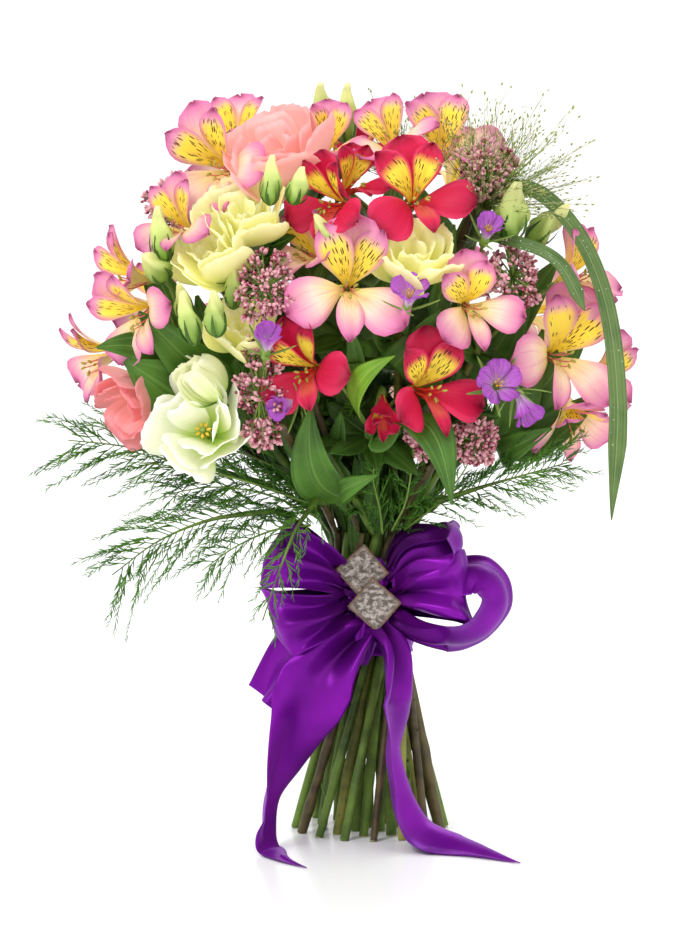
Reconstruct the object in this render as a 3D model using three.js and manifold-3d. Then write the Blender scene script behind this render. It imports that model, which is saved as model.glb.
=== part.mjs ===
// A hand-tied mixed bouquet that stands on its own cut stem ends, tied with a wide satin bow.
// Millimetres, Z up. The origin is the middle of the centre stem's cut face, and the front looks along -Y.
import * as THREE from "three";
import * as BufferGeometryUtils from "three/addons/utils/BufferGeometryUtils.js";
import loadManifold from "manifold-3d";

const wasm = await loadManifold();
wasm.setup();
const { Manifold, Mesh } = wasm;

// Driving dimensions: the spiral of stems
const stemRadius = 3.2;
const thinStemRadius = 3.15;
const waistHeight = 150;
const ringRadii = [0, 7, 13.9, 20.8];
const ringCounts = [1, 6, 11, 16];
const tiltPerRadius = 0.0141;
const freeHeight = 192;
const floorOverrun = 8;

// Driving dimensions: the domed head and the point that its sprays fan out from
const domeCentre = new THREE.Vector3(-15, 0, 345);
const domeHalf = new THREE.Vector3(180, 114, 125);
const fanPoint = new THREE.Vector3(0, 0, 185);
const viewDistance = 2000;
const viewHeight = 390;

// Driving dimensions: blades, tubes, ribbon and the gaps between nodes
const gap = 0.35;
const petalThickness = 0.9;
const leafThickness = 0.9;
const pedicelRadius = 1.3;
const pedicelReach = 44;
const ribbonWidth = 50;
const ribbonThickness = 0.9;
const bandFootRadius = 27;
const bandWaistRadius = 24.8;
const bandInnerRadius = 25.4;
const barkSide = 25;
const barkThickness = 3.5;

// Driving dimensions: how the strands run
const strandSag = 0.7; // how far a pedicel keeps its first direction, as a share of its length
const spreadPasses = 160;
const smoothPasses = 120;
const smoothShare = 0.04;
const plainLeafPlaces = [0.55, 0.82];
const plainLeafHalfWidth = 9;
const tailClearance = 0.2; // between the ribbon's tails and the surface that they lie on
const leastOverlap = 0.001;
const goldenAngle = 2.39996;

const satinRoughness = 0.35;
const petalRoughness = 0.6;
const greenRoughness = 0.6;
const dryRoughness = 0.8;

const colours = {
  stem: 0x5d7d3a, pink: 0xe58fae, crimson: 0xc8153f, cream: 0xeef0b0, white: 0xf3f5e2,
  salmon: 0xf4a49a, coral: 0xee7f83, rice: 0xb8697c, violet: 0x8f4fc0, fern: 0x4b7a35, grass: 0x9dab62,
  strap: 0x6f9160, ribbon: 0x5b0a8c, bark: 0x9a948c,
};

// Small helpers

function vector(x, y, z) {
  return new THREE.Vector3(x, y, z);
}

function radians(degrees) {
  return THREE.MathUtils.degToRad(degrees);
}

// A repeatable draw between 0 and 1, from Park and Miller's rule.
function makeDraw(seed) {
  let state = seed;
  return () => {
    state = (state * 16807) % 2147483647;
    return state / 2147483647;
  };
}

// A point in depth on the line of sight through a place on the upright plane through the middle.
function seen(across, up, depth) {
  const stretch = (viewDistance + depth) / viewDistance;
  return vector(across * stretch, depth, viewHeight + (up - viewHeight) * stretch);
}

function domeDepth(across, up) {
  const dx = (across - domeCentre.x) / domeHalf.x;
  const dz = (up - domeCentre.z) / domeHalf.z;
  return domeHalf.y * Math.sqrt(Math.max(0, 1 - dx * dx - dz * dz));
}

// Turn is to the right of the front, and lift is above the horizon, in degrees.
function facing(turn, lift) {
  const a = radians(turn);
  const b = radians(lift);
  return vector(Math.sin(a) * Math.cos(b), -Math.cos(a) * Math.cos(b), Math.sin(b));
}

// The matrix that takes local +Z to a direction, with local +Y as near to up as it can be before the roll.
function placed(point, direction, roll = 0) {
  const z = direction.clone().normalize();
  const up = Math.abs(z.z) > 0.99 ? vector(0, 1, 0) : vector(0, 0, 1);
  const x = up.clone().cross(z).normalize();
  const y = z.clone().cross(x);
  const rolled = new THREE.Matrix4().makeRotationZ(radians(roll));
  return new THREE.Matrix4().makeBasis(x, y, z).multiply(rolled).setPosition(point);
}

function solidFrom(geometry) {
  const bare = geometry.clone();
  bare.deleteAttribute("normal");
  bare.deleteAttribute("uv");
  const merged = BufferGeometryUtils.mergeVertices(bare, 1e-4);
  return new Manifold(new Mesh({
    numProp: 3,
    vertProperties: new Float32Array(merged.attributes.position.array),
    triVerts: new Uint32Array(merged.index.array),
  }));
}

function joined(solids) {
  return solids.length === 1 ? solids[0] : Manifold.union(solids);
}

// Tubes run along a curve with one step for each of its points.
class SteppedCurve extends THREE.CatmullRomCurve3 {
  getUtoTmapping(u) {
    return u;
  }
}

function tube(points, radius, sides = 6) {
  const corners = [];
  for (let i = 0; i < sides; i += 1) {
    const a = (2 * Math.PI * i) / sides;
    corners.push(new THREE.Vector2(radius * Math.cos(a), radius * Math.sin(a)));
  }
  const path = new SteppedCurve(points);
  return solidFrom(new THREE.ExtrudeGeometry(new THREE.Shape(corners), {
    steps: points.length - 1, bevelEnabled: false, extrudePath: path,
  }));
}

// A tapered stick from one point to another, with a point or a small end.
function spike(from, to, radius, tipRadius = 0, sides = 3) {
  const length = from.distanceTo(to);
  const cone = new THREE.CylinderGeometry(tipRadius, radius, length, sides, 1);
  cone.rotateX(Math.PI / 2);
  cone.translate(0, 0, length / 2);
  cone.applyMatrix4(placed(from, to.clone().sub(from)));
  return solidFrom(cone);
}

// A bead with points at both ends: a bud, a seed or a floret.
function bead(centre, direction, radius, length, sides = 4) {
  const shape = new THREE.SphereGeometry(1, sides, 2);
  shape.rotateX(Math.PI / 2);
  shape.scale(radius, radius, length / 2);
  shape.applyMatrix4(placed(centre, direction));
  return solidFrom(shape);
}

// A closed skin that is collected point by point.
class Skin {
  positions = [];
  index = [];

  point(p) {
    this.positions.push(p.x, p.y, p.z);
    return this.positions.length / 3 - 1;
  }

  triangle(a, b, c, flip = false) {
    this.index.push(a, flip ? c : b, flip ? b : c);
  }

  // Joins rows of points with triangles that are split alike on both faces, as a waved blade needs.
  fill(rows) {
    for (let i = 0; i + 1 < rows.length; i += 1) {
      for (const [face, flip] of [["top", false], ["bottom", true]]) {
        const near = rows[i][face];
        const far = rows[i + 1][face];
        if (near.length === 3 && far.length === 3) {
          for (const j of [0, 1]) {
            this.triangle(near[j], near[j + 1], far[j + 1], flip);
            this.triangle(near[j], far[j + 1], far[j], flip);
          }
        } else {
          for (const j of [0, 1]) {
            if (far.length === 3) {
              this.triangle(near[0], far[j + 1], far[j], flip);
            } else {
              this.triangle(near[j], near[j + 1], far[0], flip);
            }
          }
        }
      }
      this.edge(rows[i], rows[i + 1], 0, false);
      this.edge(rows[i], rows[i + 1], -1, true);
    }
  }

  // Closes one side of the blade between two rows, where its faces don't share their edge.
  edge(near, far, side, flip) {
    const [a, b] = [near.top.at(side), near.bottom.at(side)];
    const [c, d] = [far.bottom.at(side), far.top.at(side)];
    if (c !== d) {
      this.triangle(a, d, c, flip);
    }
    if (a !== b) {
      this.triangle(a, c, b, flip);
    }
  }

  geometry() {
    const geometry = new THREE.BufferGeometry();
    geometry.setAttribute("position", new THREE.Float32BufferAttribute(this.positions, 3));
    geometry.setIndex(this.index);
    return geometry;
  }
}

// The rows of a petal or leaf: thick in the middle and sharp at its edges. A row at either end of the curve is a
// point. A level blade keeps its width's own direction, and any other is square to its curve.
function bladeRows({ curve, side, half, thick, rows, cup = 0, wave = 0, waves = 2, phase = 0, level, grow }) {
  return rows.map((t) => {
    const centre = curve.getPoint(t);
    const tangent = curve.getTangent(t);
    if (t === 0 || t === 1) {
      centre.addScaledVector(tangent, t === 0 ? -grow : grow);
      return { top: [centre], bottom: [centre] };
    }
    const across = side(t).clone();
    if (!level) {
      across.addScaledVector(tangent, -across.dot(tangent)).normalize();
    }
    const normal = across.clone().cross(tangent).normalize();
    const width = half(t) + grow;
    const top = [];
    const bottom = [];
    for (const u of [-1, 0, 1]) {
      const lift = cup * u * u * width + wave * t * Math.sin(Math.PI * waves * u + phase + 5 * t);
      const point = centre.clone().addScaledVector(across, u * width).addScaledVector(normal, lift);
      const rise = (u === 0 ? thick / 2 : 0) + grow;
      top.push(point.clone().addScaledVector(normal, rise));
      bottom.push(rise === 0 ? top.at(-1) : point.clone().addScaledVector(normal, -rise));
    }
    return { top, bottom };
  });
}

function numbered(skin, rows) {
  return rows.map(({ top, bottom }) => {
    const topIds = top.map((p) => skin.point(p));
    return { top: topIds, bottom: bottom.map((p, j) => (p === top[j] ? topIds[j] : skin.point(p))) };
  });
}

// A thin closed blade along a curve, pointed at both ends.
function blade(shape) {
  const skin = new Skin();
  skin.fill(numbered(skin, bladeRows(shape)));
  return skin.geometry();
}

// A ring of petals that grow from one small cup, all in one skin. Neighbours share a point at the cup's rim.
function corolla(petals, { cupFloor, foot, grow }) {
  const skin = new Skin();
  const count = petals.length;
  const whorl = petals.map(({ angle, ...shape }) => {
    const turn = radians(angle);
    const turned = (p) => p.clone().applyAxisAngle(vector(0, 0, 1), turn);
    return bladeRows({ ...shape, grow }).map(({ top, bottom }) => {
      const upper = top.map(turned);
      return { top: upper, bottom: bottom.map((p, j) => (p === top[j] ? upper[j] : turned(p))) };
    });
  });
  const rim = whorl.map((rows, i) => {
    const shared = rows[0].top[0].clone().add(whorl[(i + 1) % count][0].top[2]).multiplyScalar(0.5);
    return skin.point(shared);
  });
  const inside = skin.point(vector(0, 0, cupFloor + grow));
  const outside = skin.point(vector(0, 0, foot - grow));
  whorl.forEach((rows, i) => {
    const [base, ...rest] = rows;
    const left = rim[i];
    const right = rim[(i + count - 1) % count];
    const ends = {
      top: [left, skin.point(base.top[1]), right],
      bottom: [left, skin.point(base.bottom[1]), right],
    };
    skin.fill([ends, ...numbered(skin, rest)]);
    for (const j of [0, 1]) {
      skin.triangle(inside, ends.top[j + 1], ends.top[j]);
      skin.triangle(outside, ends.bottom[j], ends.bottom[j + 1]);
    }
  });
  return skin.geometry();
}

// Flowers, each built with its foot at the origin and facing +Z

// The shape of one petal: its curve leaves the foot in the plane through the flower's axis, and the blade leans
// over a little to one side, as shingles do, to pass its neighbours.
function petalShape({ bend, tip, shingle = 15, ...shape }) {
  const curve = new THREE.QuadraticBezierCurve3(vector(0, 1.2, 0), vector(0, ...bend), vector(0, ...tip));
  const side = (t) => vector(1, 0, 0).applyAxisAngle(curve.getTangent(t), radians(shingle));
  return { curve, side, thick: petalThickness, ...shape };
}

// Half the width along a petal, from its widest half width: a narrow claw that leaves room for its neighbours.
function petalHalf(widest) {
  const profile = [[0, 0.1], [0.42, 0.44], [0.66, 0.86], [0.8, 1], [0.95, 0.66], [1, 0.3]];
  return (t) => {
    const k = Math.max(1, profile.findIndex(([place]) => place >= t));
    const [[t0, w0], [t1, w1]] = [profile[k - 1], profile[k]];
    return widest * THREE.MathUtils.mapLinear(t, t0, t1, w0, w1);
  };
}

// Three broad outer tepals and three inner ones, two of them raised and one narrow.
function alstroemeriaCorollas(size, open, grow) {
  const reach = size * (17 + 19 * open);
  const rise = size * (43 - 15 * open);
  const room = 0.68 + 0.32 * open;
  const outer = {
    bend: [size * 7.5, size * 27], tip: [reach, rise], half: petalHalf(size * room * 13), rows: [0.12, 0.45, 0.85, 1],
  };
  const inner = {
    bend: [size * 6, size * 27], tip: [reach * 0.95, rise + 2], half: petalHalf(size * room * 10.5), rows: [0.12, 0.82, 1],
  };
  const narrow = { ...inner, half: petalHalf(size * room * 7.5) };
  const petals = [outer, inner, outer, narrow, outer, inner].map((form, i) => petalShape({ ...form, angle: i * 60 }));
  return [corolla(petals, { cupFloor: 5, foot: -2, grow })];
}

// A cup of five wide petals round a closer whorl of three.
function lisianthusCorollas(size, open, grow) {
  const outer = [0, 1, 2, 3, 4].map((i) => petalShape({
    bend: [size * (17 + 5 * open), size * (10 - 6 * open)], tip: [size * (15 + 17 * open), size * (41 - 9 * open)],
    angle: i * 72, half: petalHalf(size * (15 + 4 * open)), rows: [0.1, 0.42, 0.86, 1],
    wave: size * 1.6, waves: 1.5, phase: i,
  }));
  const inner = [0, 1, 2].map((i) => petalShape({
    bend: [size * 8, size * 8], tip: [size * (7 + 8 * open), size * (38 - 4 * open)],
    angle: 36 + i * 120, half: petalHalf(size * 10), rows: [0.14, 0.86, 1],
  }));
  return [
    corolla(outer, { cupFloor: 2.2, foot: -2, grow }),
    corolla(inner, { cupFloor: 6, foot: 0.5, grow }),
  ];
}

// Five petals in a trumpet, with a long narrow sepal between each two.
function corncockleCorollas(size, open, grow) {
  const petals = [0, 1, 2, 3, 4].flatMap((i) => [
    petalShape({
      bend: [size * 4, size * 20], tip: [size * (8 + 12 * open), size * (30 - 8 * open)], angle: i * 72,
      half: petalHalf(size * (6 + 2.5 * open)), rows: [0.15, 0.85, 1],
    }),
    petalShape({
      bend: [size * 12, size * 6], tip: [size * 24, size * 18], angle: 36 + i * 72, half: () => size * 1.5,
      rows: [0.2, 1], shingle: 0,
    }),
  ]);
  return [corolla(petals, { cupFloor: 3.5, foot: -2, grow })];
}

const corollasOf = {
  pink: alstroemeriaCorollas, crimson: alstroemeriaCorollas, lisianthus: lisianthusCorollas, corncockle: corncockleCorollas,
};
const footDepth = { pink: 30, crimson: 30, lisianthus: 30, corncockle: 22 };

// Layout: each bloom is [across, up, sunk below the dome, turn, lift, roll, size, open]. Sunk is counted from the
// front of the dome, or from its back where the spray stands at the back.
const umbels = [
  { name: "pink_alstroemeria_centre", kind: "pink", blooms: [
    [-13, 358, -6, 4, 12, -6, 1.08, 1], [-44, 380, 14, -42, 26, 10, 0.85, 0.7]] },
  { name: "pink_alstroemeria_left", kind: "pink", blooms: [
    [-166, 361, -12, -66, 6, 20, 0.95, 0.75], [-157, 334, -30, -36, -14, 40, 0.95, 0.85],
    [-184, 306, -8, -68, -16, 0, 0.95, 0.7]] },
  { name: "pink_alstroemeria_upper_left", kind: "pink", blooms: [
    [-128, 398, -22, -30, 22, 10, 0.85, 0.8], [-103, 434, -20, -24, 8, 24, 1.12, 0.85],
    [-88, 458, 34, -10, 52, 0, 0.9, 0.7]] },
  { name: "pink_alstroemeria_top", kind: "pink", blooms: [
    [-26, 450, 6, 10, 34, 0, 0.85, 0.6], [12, 455, -8, -16, 46, 30, 0.9, 0.75], [50, 452, -12, 14, 40, 15, 1.0, 0.85]] },
  { name: "pink_alstroemeria_right_centre", kind: "pink", blooms: [
    [68, 343, -6, 16, 4, 14, 0.9, 0.85], [141, 366, -14, 58, 26, 0, 0.95, 0.7]] },
  { name: "pink_alstroemeria_right", kind: "pink", blooms: [
    [130, 313, -14, 26, 8, -16, 1.12, 1], [134, 262, -62, 26, -52, 12, 0.98, 0.7], [158, 292, -24, 62, -8, 0, 0.95, 0.8]] },
  { name: "pink_alstroemeria_back_left", kind: "pink", back: true, blooms: [
    [-84, 436, 24, -150, 58, 0, 1.0, 0.9], [-142, 342, 0, -132, 2, 20, 1.0, 0.8], [-82, 346, 4, -160, 6, 0, 1.05, 1]] },
  { name: "pink_alstroemeria_back_right", kind: "pink", back: true, blooms: [
    [58, 438, 24, 150, 58, 0, 1.0, 0.9], [118, 336, 0, 130, 0, 20, 1.0, 0.85], [62, 344, 4, 160, 8, 0, 1.05, 1]] },
  { name: "crimson_alstroemeria_top", kind: "crimson", blooms: [
    [-30, 410, -8, -34, 8, 0, 0.9, 0.75], [-9, 424, 10, 30, 30, 0, 0.8, 0.45], [31, 417, -10, 8, 22, 14, 1.02, 0.9]] },
  { name: "crimson_alstroemeria_front", kind: "crimson", blooms: [
    [-46, 301, -10, -26, 2, 22, 0.9, 0.85], [42, 290, -10, 30, 8, 8, 1.0, 0.85], [8, 270, -4, 0, -46, 0, 0.62, 0]] },
  { name: "crimson_alstroemeria_back", kind: "crimson", back: true, blooms: [
    [-14, 446, 34, 176, 66, 0, 1.0, 0.9], [-30, 306, 0, -172, -12, 12, 1.0, 0.9], [22, 340, 2, 176, 4, 0, 0.95, 0.9]] },
];

// Each lisianthus spray has its blooms, and its buds as [across, up, sunk, turn, lift, length, radius].
const lisianthusSprays = [
  { name: "lisianthus_spray_upper_left", blooms: [
    { name: "lisianthus_cream_upper", colour: "cream", at: [-83, 404, -8, -8, 50, 0, 0.95, 0.8] },
    { name: "lisianthus_cream_left", colour: "cream", at: [-105, 380, -12, -40, 44, 20, 0.95, 0.8] }],
    buds: [[-64, 420, -32, 10, 66, 28, 6], [-47, 417, -26, 30, 60, 22, 6.5], [-135, 384, -22, -20, 76, 32, 7],
      [-138, 366, -20, -30, 30, 24, 8]] },
  { name: "lisianthus_spray_right", blooms: [
    { name: "lisianthus_cream_right", colour: "cream", at: [29, 378, 0, 10, 50, 0, 0.92, 0.85] }],
    buds: [[91, 400, -4, 20, 60, 34, 11], [113, 392, 4, 50, 38, 34, 8], [-28, 386, -2, -40, 50, 26, 6]] },
  { name: "lisianthus_spray_left", blooms: [
    { name: "lisianthus_cream_centre_left", colour: "cream", at: [-83, 330, 2, 4, 46, 0, 0.8, 0.8] },
    { name: "lisianthus_half_open", colour: "white", at: [-113, 296, -16, -50, 38, 0, 0.8, 0.25] },
    { name: "lisianthus_white_open", colour: "white", at: [-114, 264, -38, -18, 14, 12, 1.08, 0.95] }],
    buds: [[-117, 331, -26, -22, 62, 32, 6.5], [-100, 334, -28, -12, 70, 26, 6.5], [-121, 342, -8, -20, 66, 22, 5.5],
      [-88, 352, -4, 10, 70, 26, 5.5]] },
  { name: "lisianthus_stem_top", blooms: [
    { name: "lisianthus_salmon_top", colour: "salmon", at: [-62, 446, -12, -34, 52, 0, 1.22, 0.85] }],
    buds: [[-15, 462, 4, 8, 78, 34, 6.5], [-31, 468, 26, -12, 76, 26, 6.5]] },
  { name: "lisianthus_stem_lower_left", blooms: [
    { name: "lisianthus_coral_lower_left", colour: "coral", at: [-158, 272, -58, -46, -30, 0, 0.95, 0.8] }],
    buds: [] },
  { name: "lisianthus_stem_back", back: true, blooms: [
    { name: "lisianthus_salmon_back", colour: "salmon", at: [38, 296, 4, 166, -10, 0, 1.1, 0.95] }],
    buds: [[-60, 420, 0, -160, 60, 30, 7]] },
];

// Dense heads of tiny buds: [across, up, sunk, turn, lift, half width, half height].
const riceSprays = [
  { name: "rice_flower_centre_left", heads: [[-72, 358, -20, -16, 22, 16, 20]] },
  { name: "rice_flower_low_left", heads: [[-74, 280, -24, -14, -8, 13, 38]] },
  { name: "rice_flower_right", heads: [[98, 365, -4, 20, 20, 19, 23]] },
  { name: "rice_flower_upper_left", heads: [[-131, 417, -4, -30, 44, 16, 19]] },
  { name: "rice_flower_upper_right", heads: [[78, 438, -24, 20, 40, 17, 17]] },
  { name: "rice_flower_low_right", heads: [[40, 252, -20, 6, -26, 11, 12], [70, 248, -30, 10, -26, 13, 13]] },
  { name: "rice_flower_back", back: true, heads: [[-96, 290, 0, -150, -4, 20, 22]] },
];

const corncockleSprays = [
  { name: "corncockle_right", kind: "corncockle", blooms: [
    [84, 292, -22, 8, 16, 0, 0.9, 0.6], [102, 272, -50, 38, -50, 0, 0.8, 0.3]] },
  { name: "corncockle_upper_right", kind: "corncockle", blooms: [
    [26, 352, -14, 10, 46, 0, 0.8, 0.5], [77, 393, -14, 14, 40, 0, 0.7, 0.3]] },
  { name: "corncockle_left", kind: "corncockle", blooms: [
    [-66, 322, -24, 10, 46, 0, 0.75, 0.2], [-58, 276, -24, -40, -12, 0, 0.75, 0.15]] },
];

// Fern fronds: the points of the rachis as [across, up, depth], the branchlets' length and how many there are.
const fernFronds = [
  { name: "fern_frond_left_upper", points: [[-70, 226, -36], [-118, 240, -48], [-160, 250, -54], [-196, 254, -58]],
    reach: 40, pairs: 6, facing: [-8, 30] },
  { name: "fern_frond_left_lower", points: [[-62, 208, -44], [-104, 202, -62], [-138, 188, -72], [-168, 166, -76]],
    reach: 38, pairs: 6, facing: [-8, 30] },
  { name: "fern_frond_over_bow", points: [[-34, 216, -58], [-48, 196, -78], [-60, 166, -88], [-70, 136, -92]],
    reach: 26, pairs: 5, facing: [-10, 20] },
  { name: "fern_frond_right", points: [[44, 214, -44], [74, 224, -62], [102, 232, -70], [130, 240, -70]],
    reach: 36, pairs: 5, facing: [10, 30] },
];

// Airy grass heads: where the tuft sits, the way it leans, its reach and how many branchlets it has.
const grassHeads = [
  { name: "panic_grass_upper_right", tuft: [72, 404, -52], turn: 42, lift: 52, reach: 78, count: 15, spread: 0.75 },
  { name: "panic_grass_back", tuft: [20, 420, 46], turn: -150, lift: 58, reach: 60, count: 8, spread: 0.7 },
];

// The two strap leaves of one shoot, as points of the midrib.
const strapLeaves = [
  { points: [[60, 384, -46], [80, 412, -58], [104, 415, -66], [130, 392, -74], [150, 350, -80], [160, 282, -86],
    [157, 202, -88]], half: 5.8 },
  { points: [[66, 384, -62], [92, 382, -90], [120, 370, -100], [139, 338, -100]], half: 5.2 },
];

// Leaves that show among the blooms: owner, place along its stem, then the points that the blade bends towards and
// ends at, and half its width.
const shownLeaves = [
  ["crimson_alstroemeria_front", 0.3, [-46, 214, -74], [-40, 274, -92], 13.5],
  ["crimson_alstroemeria_front", 0.45, [-34, 216, -90], [6, 232, -96], 8],
  ["crimson_alstroemeria_front", 0.8, [42, 306, -118], [53, 214, -122], 10.5],
  ["crimson_alstroemeria_front", 0.6, [6, 240, -84], [24, 284, -94], 9],
  ["crimson_alstroemeria_front", 0.9, [-24, 290, -132], [16, 309, -132], 9.5],
  ["pink_alstroemeria_centre", 0.62, [8, 290, -92], [46, 340, -96], 10.5],
  ["pink_alstroemeria_centre", 0.75, [-4, 296, -112], [-14, 330, -120], 7],
  ["pink_alstroemeria_right_centre", 0.55, [30, 280, -84], [54, 338, -98], 8],
  ["lisianthus_spray_left", 0.6, [-108, 262, -40], [-157, 306, -44], 14],
  ["lisianthus_spray_left", 0.72, [-116, 300, -70], [-149, 334, -76], 8.5],
  ["pink_alstroemeria_left", 0.8, [-138, 312, -70], [-177, 312, -76], 7],
  ["pink_alstroemeria_right", 0.5, [80, 242, -66], [118, 262, -72], 10],
];

// The bow's strips, each as points of its middle line with the direction of its width there.
const bowStrips = {
  upperLeft: {
    points: [[-12, -33, 163], [-30, -50, 176], [-52, -55, 184], [-63, -46, 188], [-52, -36, 187],
      [-28, -35, 176], [-14, -33, 165]],
    widths: [[0, 0, 1], [0.25, 0.2, 1], [0.35, 0.4, 0.9], [0.35, 0.45, 0.9], [0.3, 0.35, 0.9],
      [0.1, 0.2, 1], [0, 0, 1]],
  },
  lowerLeft: {
    points: [[-12, -35, 152], [-32, -56, 145], [-52, -60, 142], [-61, -50, 141], [-50, -38, 141],
      [-28, -35, 146], [-14, -34, 152]],
    widths: [[0, 0, 1], [-0.2, 0, 1], [-0.38, 0.1, 0.92], [-0.42, 0.15, 0.9], [-0.35, 0.1, 0.9],
      [-0.1, 0, 1], [0, 0, 1]],
  },
  smallLeft: {
    points: [[-13, -33, 146], [-32, -34, 130], [-48, -37, 114], [-60, -38, 101], [-68, -38, 90]],
    widths: [[-0.5, 0, 0.8], [-0.6, 0.1, 0.8], [-0.6, 0.3, 0.75], [-0.5, 0.6, 0.6], [-0.4, 0.75, 0.5]],
  },
  upperRight: {
    points: [[12, -34, 162], [31, -50, 181], [47, -51, 185], [57, -44, 192], [51, -36, 201],
      [40, -34, 197], [24, -33, 190], [13, -32, 172]],
    widths: [[0, 0.4, 0.9], [0, 0.85, 0.5], [0, 0.9, 0.42], [0.1, 0.93, 0.3], [0.1, 0.96, 0.15],
      [0, 0.97, 0.1], [0, 0.9, 0.3], [0, 0.4, 0.9]],
  },
  middleRight: {
    points: [[12, -36, 158], [32, -58, 163], [52, -62, 165], [62, -50, 164], [52, -39, 162],
      [30, -36, 158], [14, -34, 156]],
    widths: [[0, 0, 1], [-0.1, 0, 1], [-0.15, 0.2, 0.95], [-0.1, 0.3, 0.93], [0, 0.2, 0.95], [0, 0, 1],
      [0, 0, 1]],
  },
  outerRight: {
    points: [[12, -35, 146], [31, -46, 136], [47, -50, 133], [60, -50, 134], [71, -49, 139],
      [80, -46, 153], [78, -43, 165], [71, -41, 171], [60, -39, 171], [48, -37, 167]],
    widths: [[0, 0.75, -0.65], [0, 0.92, -0.4], [0, 0.94, -0.34], [0.05, 0.94, -0.3], [0.2, 0.94, -0.2],
      [0.34, 0.94, 0], [0.25, 0.94, 0.2], [0.1, 0.94, 0.3], [0, 0.94, 0.34], [0, 0.94, 0.34]],
  },
  leftTail: {
    points: [[-2, -38, 138], [-16, -46, 127], [-29, -54, 112], [-39, -58, 93], [-47, -61, 76],
      [-56, -64, 54], [-64, -67, 30], [-65, -71, 12], [-63, -83, 1], [-55, -108, 0.9], [-39, -134, 0.9]],
    widths: [[1, 0, -0.3], [0.9, 0, -0.4], [0.87, 0, -0.5], [0.85, 0.2, -0.45], [0.7, 0.65, -0.3],
      [0.45, 0.88, -0.2], [0.16, 0.98, -0.15], [0.2, 0.96, -0.15], [0.6, 0.8, -0.1], [0.85, 0.5, 0],
      [0.85, 0.5, 0]],
  },
  rightTail: {
    points: [[3, -38, 138], [14, -46, 124], [16, -54, 100], [16, -57, 85], [15, -59, 71], [14, -60, 59],
      [17, -62, 42], [22, -63, 23], [31, -66, 9], [49, -75, 2.5], [68, -91, 2], [93, -119, 0.9]],
    widths: [[0.8, 0.6, 0], [0.5, 0.87, 0], [0.42, 0.91, 0], [0.36, 0.93, 0], [0.22, 0.97, 0],
      [0.14, 0.99, 0], [0.18, 0.98, 0], [0.28, 0.95, 0.1], [0.32, 0.93, 0.15], [0.35, 0.93, 0.12],
      [0.45, 0.89, 0.08], [0.6, 0.8, 0]],
  },
};
const knot = { centre: [0, -30.4, 159], half: [10, 6.4, 20] };
const bandCentreHeight = 142;
const barkPlaces = [
  { name: "bark_square_upper", centre: [-5, -39.6, 173], turn: 41, lean: 3 },
  { name: "bark_square_lower", centre: [3, -43.8, 152], turn: 49, lean: -2 },
];

// The spiral: every stem is a straight line through its place in a ring at the waist. Its tilt grows with the
// ring's radius, so that the rings widen alike above and below the waist and no two stems meet.

function slotLine(radius, angle) {
  const point = vector(radius * Math.cos(angle), radius * Math.sin(angle), waistHeight);
  const slope = radius * tiltPerRadius;
  const direction = vector(-Math.sin(angle) * slope, Math.cos(angle) * slope, 1);
  return (z) => point.clone().addScaledVector(direction, z - waistHeight);
}

function turnRound(angle) {
  return Math.atan2(Math.sin(angle), Math.cos(angle));
}

// Each stem gets a slot: the sprays nearest the axis the inner rings, and round each ring the best shift.
function assignSlots(stems) {
  const reachOf = (stem) => Math.hypot(stem.end.x, stem.end.y) + 0.5 * (domeCentre.z - stem.end.z);
  const sorted = [...stems].sort((a, b) => reachOf(a) - reachOf(b));
  let first = 0;
  ringRadii.forEach((radius, ring) => {
    const count = ringCounts[ring];
    const members = sorted.slice(first, first + count);
    const group = members.map((stem) => ({ stem, angle: Math.atan2(stem.end.y, stem.end.x) }));
    group.sort((a, b) => a.angle - b.angle);
    first += count;
    const slots = [];
    for (let i = 0; i < count; i += 1) {
      const line = slotLine(radius, (2 * Math.PI * i) / count);
      const top = line(freeHeight);
      slots.push({ line, angle: Math.atan2(top.y, top.x) });
    }
    slots.sort((a, b) => a.angle - b.angle);
    let best = 0;
    let bestCost = Infinity;
    for (let shift = 0; shift < count; shift += 1) {
      const turns = group.map((item, i) => turnRound(slots[(i + shift) % count].angle - item.angle));
      const cost = turns.reduce((sum, turn) => sum + turn ** 2, 0);
      if (cost < bestCost) {
        best = shift;
        bestCost = cost;
      }
    }
    group.forEach((item, i) => {
      item.stem.line = slots[(i + best) % count].line;
    });
  });
}

function closestPoints(a0, a1, b0, b1) {
  const u = a1.clone().sub(a0);
  const v = b1.clone().sub(b0);
  const w = a0.clone().sub(b0);
  const uu = u.dot(u);
  const uv = u.dot(v);
  const vv = v.dot(v);
  const uw = u.dot(w);
  const vw = v.dot(w);
  const slack = uu * vv - uv * uv;
  let s = slack > 1e-9 ? THREE.MathUtils.clamp((uv * vw - vv * uw) / slack, 0, 1) : 0;
  let t = vv > 1e-9 ? (uv * s + vw) / vv : 0;
  if (t < 0 || t > 1) {
    t = THREE.MathUtils.clamp(t, 0, 1);
    s = uu > 1e-9 ? THREE.MathUtils.clamp((uv * t - uw) / uu, 0, 1) : 0;
  }
  return { s, t, apart: a0.clone().addScaledVector(u, s).sub(b0.clone().addScaledVector(v, t)) };
}

// Strands that come too near are pushed apart, point by point, and smoothed a little, until they are clear.
function spreadStrands(strands) {
  for (let pass = 0; pass < spreadPasses; pass += 1) {
    for (let a = 0; a < strands.length; a += 1) {
      for (let b = a + 1; b < strands.length; b += 1) {
        if (strands[a].family !== strands[b].family) {
          pushApart(strands[a], strands[b]);
        }
      }
    }
    if (pass < smoothPasses) {
      for (const { points, free } of strands) {
        for (const i of free) {
          const middle = points[i - 1].clone().add(points[i + 1]).multiplyScalar(0.5);
          points[i].lerp(middle, smoothShare);
        }
      }
    }
  }
}

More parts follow.
